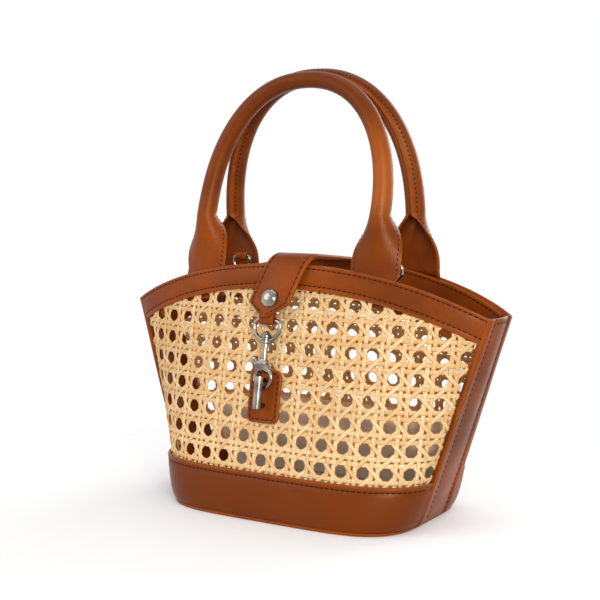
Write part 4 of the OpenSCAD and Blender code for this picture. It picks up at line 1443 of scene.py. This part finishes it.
@dataclass
class FoldedLoop:
    """A strip of leather that is folded round a metal bar or ring."""

    shop: Workshop
    width: float
    thick: float
    sharp_deg: float = 60.0
    step: float = 0.5

    def build(self, name: str, path: Sequence[Point2], place: Callable[[Array], Array]) -> None:
        """Sweeps the strip along a flat path.

        Args:
            name: name of its node, and first part of the piece's name.
            path: points of its middle line.
            place: turns points of the loop's own frame into the bag's.
        """
        line = even_path(path, self.step)
        a, h = self.width / 2, self.thick / 2
        half = [(-a + 0.08, 0.6 * h, 0.8), (-a + 0.35, 0.95 * h, 0.3), (0.0, h, 0.0),
                (a - 0.35, 0.95 * h, 0.3), (a - 0.08, 0.6 * h, 0.8)]
        section = [(-a, 0.0, 1.0)] + half + [(a, 0.0, 1.0)] + [(x, -y, wear) for x, y, wear in reversed(half)]
        rings = [[[x, p[0] + n[0] * y, p[1] + n[1] * y] for x, y, _ in section]
                 for p, n in zip(line, side_normals(line))]
        wear = [edge for _, _, edge in section]
        piece = Maker.loft(f"{name}_leather", place(np.array(rings)), self.sharp_deg, wear)
        self.shop.finish(piece, Slot.LEATHER, name)


@dataclass
class Closure:
    """The strap over the mouth, its loop, and the patch under the bar."""

    shop: Workshop
    closure_x: float = -6.0
    hook_z: float = 77.3
    bar_gap: float = 5.2
    ridge: float = 0.5
    ridge_gap: float = 0.2
    eye_reach: float = 31.6
    eye_wire: float = 2.2
    bore_gap: float = 0.3
    loop_t: float = 1.2
    loop_w: float = 9.0
    loop_h: float = 16.0
    loop_gap: float = 0.3
    strap_w: float = 26.0
    strap_t: float = 2.4
    strap_top: float = 146.4
    strap_drop: float = 5.0
    strap_bend: float = 9.0
    bend_steps: int = 14
    strap_step: float = 0.8
    strap_root: float = 3.0
    strap_draw: float = 1.2
    strap_x: float = 4.0
    strap_point: float = 8.0
    strap_tip: float = 0.115
    rim_clear: float = 0.7
    strap_seat: float = 0.8
    tip_rise: float = 1.4
    stitch_in: float = 2.2
    stitch_h: float = 1.02
    stitch_least: float = 3.2
    stitch_skip: int = 12
    patch_w: float = 20.2
    patch_h: float = 29.4
    patch_r: float = 3.5
    patch_over: float = 4.6
    patch_stitch: float = 1.95
    sharp_deg: float = 60.0

    def __post_init__(self) -> None:
        """Works out the lines that the pieces share."""
        form = self.shop.form
        self.hook_y = -(float(form.half_d(self.hook_z)) - form.cane_out)
        self.patch_back = self.ridge + self.ridge_gap
        hook_c = self.patch_back + form.leather_t + self.bar_gap / 2
        self.loop_bore = self.eye_wire / 2 + self.bore_gap
        self.eye = self.at(hook_c, self.eye_reach)
        out = hook_c + self.loop_bore + self.loop_t + self.loop_gap + self.strap_t / 2
        self.tip = self.at(out, self.eye_reach + self.tip_rise)
        rim_y = -(float(form.half_d(form.rim_h)) + self.rim_clear + self.strap_t / 2)
        self.strap_lean = math.atan2(rim_y - self.tip[0], form.rim_h - self.tip[1])
        self.middle = self.strap_top - self.strap_t / 2

    def at(self, c: float, b: float) -> Array:
        """A point of the closure's plane: c out from the cane and b up along the wall, as y and z."""
        sin, cos = math.sin(self.shop.form.lean), math.cos(self.shop.form.lean)
        return np.array([self.hook_y - c * cos + b * sin, self.hook_z + c * sin + b * cos])

    @property
    def bend(self) -> Point2:
        """Corner of the strap's line above the front rim."""
        return self.tip[0] + (self.middle - self.tip[1]) * math.tan(self.strap_lean), self.middle

    @property
    def back(self) -> Point2:
        """Corner of the strap's line inside the rear rim."""
        form = self.shop.form
        inner = form.facing_in + self.strap_t / 2 + self.strap_seat
        return float(form.half_d(form.rim_h)) - inner, self.middle - self.strap_drop

    def line(self) -> Array:
        """The strap's middle line from its sewn end to its tip, as y and z."""
        form = self.shop.form
        root = form.rim_h - form.facing_h + self.strap_root
        foot = (self.back[0] + float(form.half_d(root)) - float(form.half_d(form.rim_h)), root)
        corners = [foot, self.back, self.bend, tuple(self.tip)]
        return even_path(smooth_path(corners, self.strap_bend, self.bend_steps), self.strap_step)

    def shift(self, p: Array) -> float:
        """Side shift of the strap: straight over the mouth, then drawn towards the hook."""
        if p[0] > self.back[0]:
            return self.strap_x
        level = self.middle - self.strap_drop * ramp(p[0], self.bend[0], self.back[0])
        return lerp(self.closure_x, self.strap_x, ramp(p[1], self.tip[1], level) ** self.strap_draw)

    def strap(self) -> None:
        """Builds the strap with its pointed end and its edge stitching."""
        line = self.line()
        run = run_lengths(line)
        edge = [(0.0, 0.0, 0.9), (0.06, 0.62, 1.0), (0.35, 0.98, 0.7), (0.9, 1.15, 0.15), (1.6, 1.13, 0),
                (2.05, 0.98, 0), (2.35, 0.98, 0), (2.8, 1.13, 0)]
        edge_wear = [wear for _, _, wear in edge]
        wear = edge_wear + [0] * 5 + edge_wear[::-1] + [0.6, 0.3, 0, 0.3, 0.6]
        rings: list[Any] = []
        rows: dict[int, list[Any]] = {-1: [], 1: []}
        for p, out, rest in zip(line, -side_normals(line), run[-1] - run):
            half = self.strap_w / 2 * min(1.0, lerp(self.strap_tip, 1.0, rest / self.strap_point))
            x = self.shift(p)
            top = [(half - min(inset, half * 0.92), height) for inset, height, _ in edge]
            top += [(half * share, 1.2) for share in (0.4, 0.2)]
            foot = [(half - 0.06, -0.7), (half - 0.4, -1.1)]
            upper = top + [(0.0, 1.22)] + [(-a, h) for a, h in reversed(top)]
            lower = [(-a, h) for a, h in foot] + [(0.0, -1.2)] + foot[::-1]
            rings.append([[x + a, p[0] + out[0] * h, p[1] + out[1] * h] for a, h in upper + lower])
            if half > self.stitch_least:
                y, z = p + out * self.stitch_h
                for sign, row in rows.items():
                    row.append(([x + sign * (half - self.stitch_in), y, z], [0.0, out[0], out[1]]))
        piece = Maker.loft("closure_strap_leather", np.array(rings), self.sharp_deg, wear)
        self.shop.finish(piece, Slot.LEATHER, "closure_strap")
        sewn = [tuple(np.array(column) for column in zip(*row[self.stitch_skip:])) for row in rows.values()]
        self.shop.sew("closure_strap_stitches", sewn)

    def loop(self) -> None:
        """Builds the loop that holds the eye's bar under the strap."""
        sin, cos = math.sin(self.strap_lean), math.cos(self.strap_lean)
        seat = np.dot(self.eye - self.tip, [cos, -sin]) - self.strap_t / 2
        r = self.loop_bore + self.loop_t / 2
        near = -seat + self.loop_t / 2 + 0.08
        far = near + self.loop_t + 0.02
        turn = [(r * math.cos(a), r * math.sin(a)) for a in np.radians(np.linspace(170, 395, 26))]
        path = [(near, self.loop_h), (near, 2.0)] + turn
        path += [(lerp(r, far, 0.6), 3.0), (far, 4.6), (far, self.loop_h)]

        def place(points: Array) -> Array:
            """Leans the loop with the strap and sets it on the eye's bar."""
            x, y, z = np.moveaxis(points, -1, 0)
            return np.stack([x + self.closure_x, self.eye[0] + y * cos + z * sin,
                             self.eye[1] - y * sin + z * cos], axis=-1)

        FoldedLoop(self.shop, self.loop_w, self.loop_t).build("strap_loop", smooth_path(path, 0.8, 4), place)

    def patch(self) -> None:
        """Builds the stitched patch under the bar."""
        middle = self.patch_over - self.patch_h / 2

        def ring(inset: float, height: float) -> Array:
            """A rounded rectangle along the wall, at a height above the cane."""
            r = max(self.patch_r - inset, 0.4)
            a, b = self.patch_w / 2 - inset - r, self.patch_h / 2 - inset - r
            points = []
            for k, (sx, sy) in enumerate(((1, 1), (-1, 1), (-1, -1), (1, -1))):
                for t in np.radians(np.linspace(0, 90, 9)) + k * math.pi / 2:
                    spot = self.at(self.patch_back + height, middle + (sy * b + r * math.sin(t)))
                    points.append([self.closure_x + (sx * a + r * math.cos(t)), spot[0], spot[1]])
            return np.array(points)

        thick, lean = self.shop.form.leather_t, self.shop.form.lean
        steps = [(0.3, 0.0, 0.2), (0.0, 0.3, 0.9), (0.0, thick - 0.6, 1.0), (0.25, thick - 0.15, 0.8),
                 (0.8, thick + 0.02, 0.2), (1.45, thick, 0.0), (1.8, thick - 0.16, 0.0),
                 (2.1, thick - 0.16, 0.0), (2.5, thick, 0.0), (3.2, thick + 0.06, 0.0)]
        rings = np.array([ring(inset, height) for inset, height, _ in steps])
        wear = np.array([edge for _, _, edge in steps])
        piece = Maker.loft("bar_patch_leather", rings, self.sharp_deg, wear[:, None])
        self.shop.finish(piece, Slot.LEATHER, "bar_patch")
        row = ring(self.patch_stitch, thick - 0.1)
        row = np.concatenate([row, row[:1]])
        normals = np.tile([0.0, -math.cos(lean), math.sin(lean)], (len(row), 1))
        self.shop.sew("bar_patch_stitches", [(row, normals)], pitch=3.1, length=2.3)

    def build(self) -> None:
        """Builds all leather of the closure."""
        self.strap()
        self.loop()
        self.patch()


@dataclass
class RingLoop:
    """A leather loop inside the rim that holds a ring for a shoulder strap."""

    shop: Workshop
    left: bool
    ring_x: float = 62.0
    ring_wire: float = 1.9
    ring_play: float = 0.25
    loop_w: float = 7.0
    loop_t: float = 1.2
    rise: float = 7.0
    stand: float = 8.0
    root: float = 3.4
    wrap: float = 0.95
    foot_share: float = 0.7

    def place(self, points: Array) -> Array:
        """Turns the loop's own frame into the bag's: rear wall at the left, front wall at the right."""
        form = self.shop.form
        u = form.rim_u(-self.ring_x)
        p = form.wall(u, form.rim_z(u), form.facing_in)
        yaw = form.rim_yaw(u, form.facing_in)
        sin, cos = math.sin(yaw), math.cos(yaw)
        x, y, z = np.moveaxis(points, -1, 0)
        rear = np.stack([p[0] + x * cos - y * sin, -(p[1] + x * sin + y * cos), p[2] + z], axis=-1)
        return rear if self.left else rear * HALF_TURN

    def build(self) -> None:
        """Builds the loop."""
        r = self.ring_wire / 2 + self.ring_play + self.loop_t / 2
        slope = math.atan2(self.rise, self.stand - self.root)
        foot = -self.shop.form.facing_h * self.foot_share
        last, first = slope - math.pi * (0.5 + self.wrap), slope + math.pi * (self.wrap - 0.5)
        turn = [(self.stand + r * math.cos(a), self.rise + r * math.sin(a))
                for a in np.linspace(last, first, 24)[::-1]]
        path = [(1.25, foot), (1.25, -0.5), (2.1, 1.6)] + turn + [(3.6, -0.6), (2.45, -2.0), (2.45, foot)]
        label = "left" if self.left else "right"
        strip = FoldedLoop(self.shop, self.loop_w, self.loop_t)
        strip.build(f"{label}_ring_loop", smooth_path(path, 1.2, 5), self.place)


@dataclass
class Hardware:
    """The metal pieces, which keep the shapes of the frame and get their finish here."""

    shop: Workshop
    names: tuple[str, ...] = ("strap_stud", "stud_washer", "clasp_eye", "clasp_hook", "clasp_gate",
                              "gate_pin", "gate_spring", "closure_bar", "left_ring", "right_ring")

    def dress(self) -> None:
        """Gives the metal its finish."""
        for name in self.names:
            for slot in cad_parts[name].material_slots:
                slot.material = self.shop.finishes.of[Slot.NICKEL]
            LOG.info("%s keeps its shape", name)


# Stage


@dataclass(frozen=True)
class Lamp:
    """A soft square lamp: its place and size in metres, and its power."""

    name: str
    place: Point3
    size: float
    power: float


@dataclass
class Studio:
    """A pale floor, soft light and the camera, in metres."""

    eye: Point3 = (0.35895, -0.592817, 0.186854)
    target: Point3 = (-0.006336, -0.00393, 0.117478)
    lens: float = 73.25
    sensor: float = 36.0
    floor_reach: float = 1.2
    world_light: float = 0.6
    lamps: tuple[Lamp, ...] = (
        Lamp("left softbox", (-0.75, -0.95, 0.7), 0.8, 3.4),
        Lamp("front softbox", (0.72, -0.88, 0.42), 0.5, 10.0),
        Lamp("back softbox", (0.3, 1.0, 0.5), 0.8, 6.0),
        Lamp("top softbox", (0.1, 0.1, 1.35), 0.9, 2.5),
    )

    def aim(self, name: str, data: Any, place: Point3) -> Piece:
        """Puts a lamp or a camera in its place and points it at the bag."""
        made = put(name, data)
        made.location = place
        made.rotation_euler = (Vector(self.target) - Vector(place)).to_track_quat("-Z", "Y").to_euler()
        return made

    def camera(self) -> None:
        """Sets up the camera."""
        data = bpy.data.cameras.new("camera")
        data.lens = self.lens
        data.sensor_width = self.sensor
        data.clip_start = 0.01
        bpy.context.scene.camera = self.aim("camera", data, self.eye)

    def floor(self) -> None:
        """Lays a pale floor that keeps the bag's shadow."""
        data = bpy.data.meshes.new("floor")
        reach = self.floor_reach
        corners = [(-reach, -reach, 0), (reach, -reach, 0), (reach, reach, 0), (-reach, reach, 0)]
        data.from_pydata(corners, [], [(0, 1, 2, 3)])
        data.materials.append(PaleFloor("pale floor").build())
        put("floor", data)

    def world(self) -> None:
        """Makes the surroundings: white to the eye, dimmer as light."""
        world = bpy.data.worlds.new("studio")
        bpy.context.scene.world = world
        world.use_nodes = True
        graph = Graph(world.node_tree)
        dimmed = {"Value": graph.seen(), "To Min": self.world_light}
        level = graph.out("ShaderNodeMapRange", dimmed)
        graph.feed(world.node_tree.nodes["Background"], {"Color": (1, 1, 1, 1), "Strength": level})

    def build(self) -> None:
        """Builds the whole stage."""
        bpy.context.scene.view_settings.view_transform = "Standard"
        self.camera()
        self.floor()
        self.world()
        for lamp in self.lamps:
            data = bpy.data.lights.new(lamp.name, "AREA")
            data.size = lamp.size
            data.energy = lamp.power
            self.aim(lamp.name, data, lamp.place)


def main() -> None:
    """Builds the bag and its stage in order."""
    logging.basicConfig(level=logging.INFO, format="%(message)s")
    shop = Workshop(BagForm(), Finishes(), Sewing())
    Studio().build()
    for side in Side:
        CaneWall(shop, side).build()
        Bands(shop, side).build()
    for right in (False, True):
        Gusset(shop, right).build()
    Foot(shop).build()
    # The last number of each handle sets the strength of the painted light on its right leg.
    Handle(shop, Side.FRONT, span=57.0, top=241.0, lean=7.9, tab_x=57.0, shift=(-4.0, 0.4), leg_light=0.62).build()
    Handle(shop, Side.REAR, span=60.4, top=243.7, lean=7.5, tab_x=62.4, shift=(-5.2, -1.8), leg_light=0.1).build()
    Closure(shop).build()
    for left in (True, False):
        RingLoop(shop, left).build()
    Hardware(shop).dress()


if __name__ == "__main__":
    main()
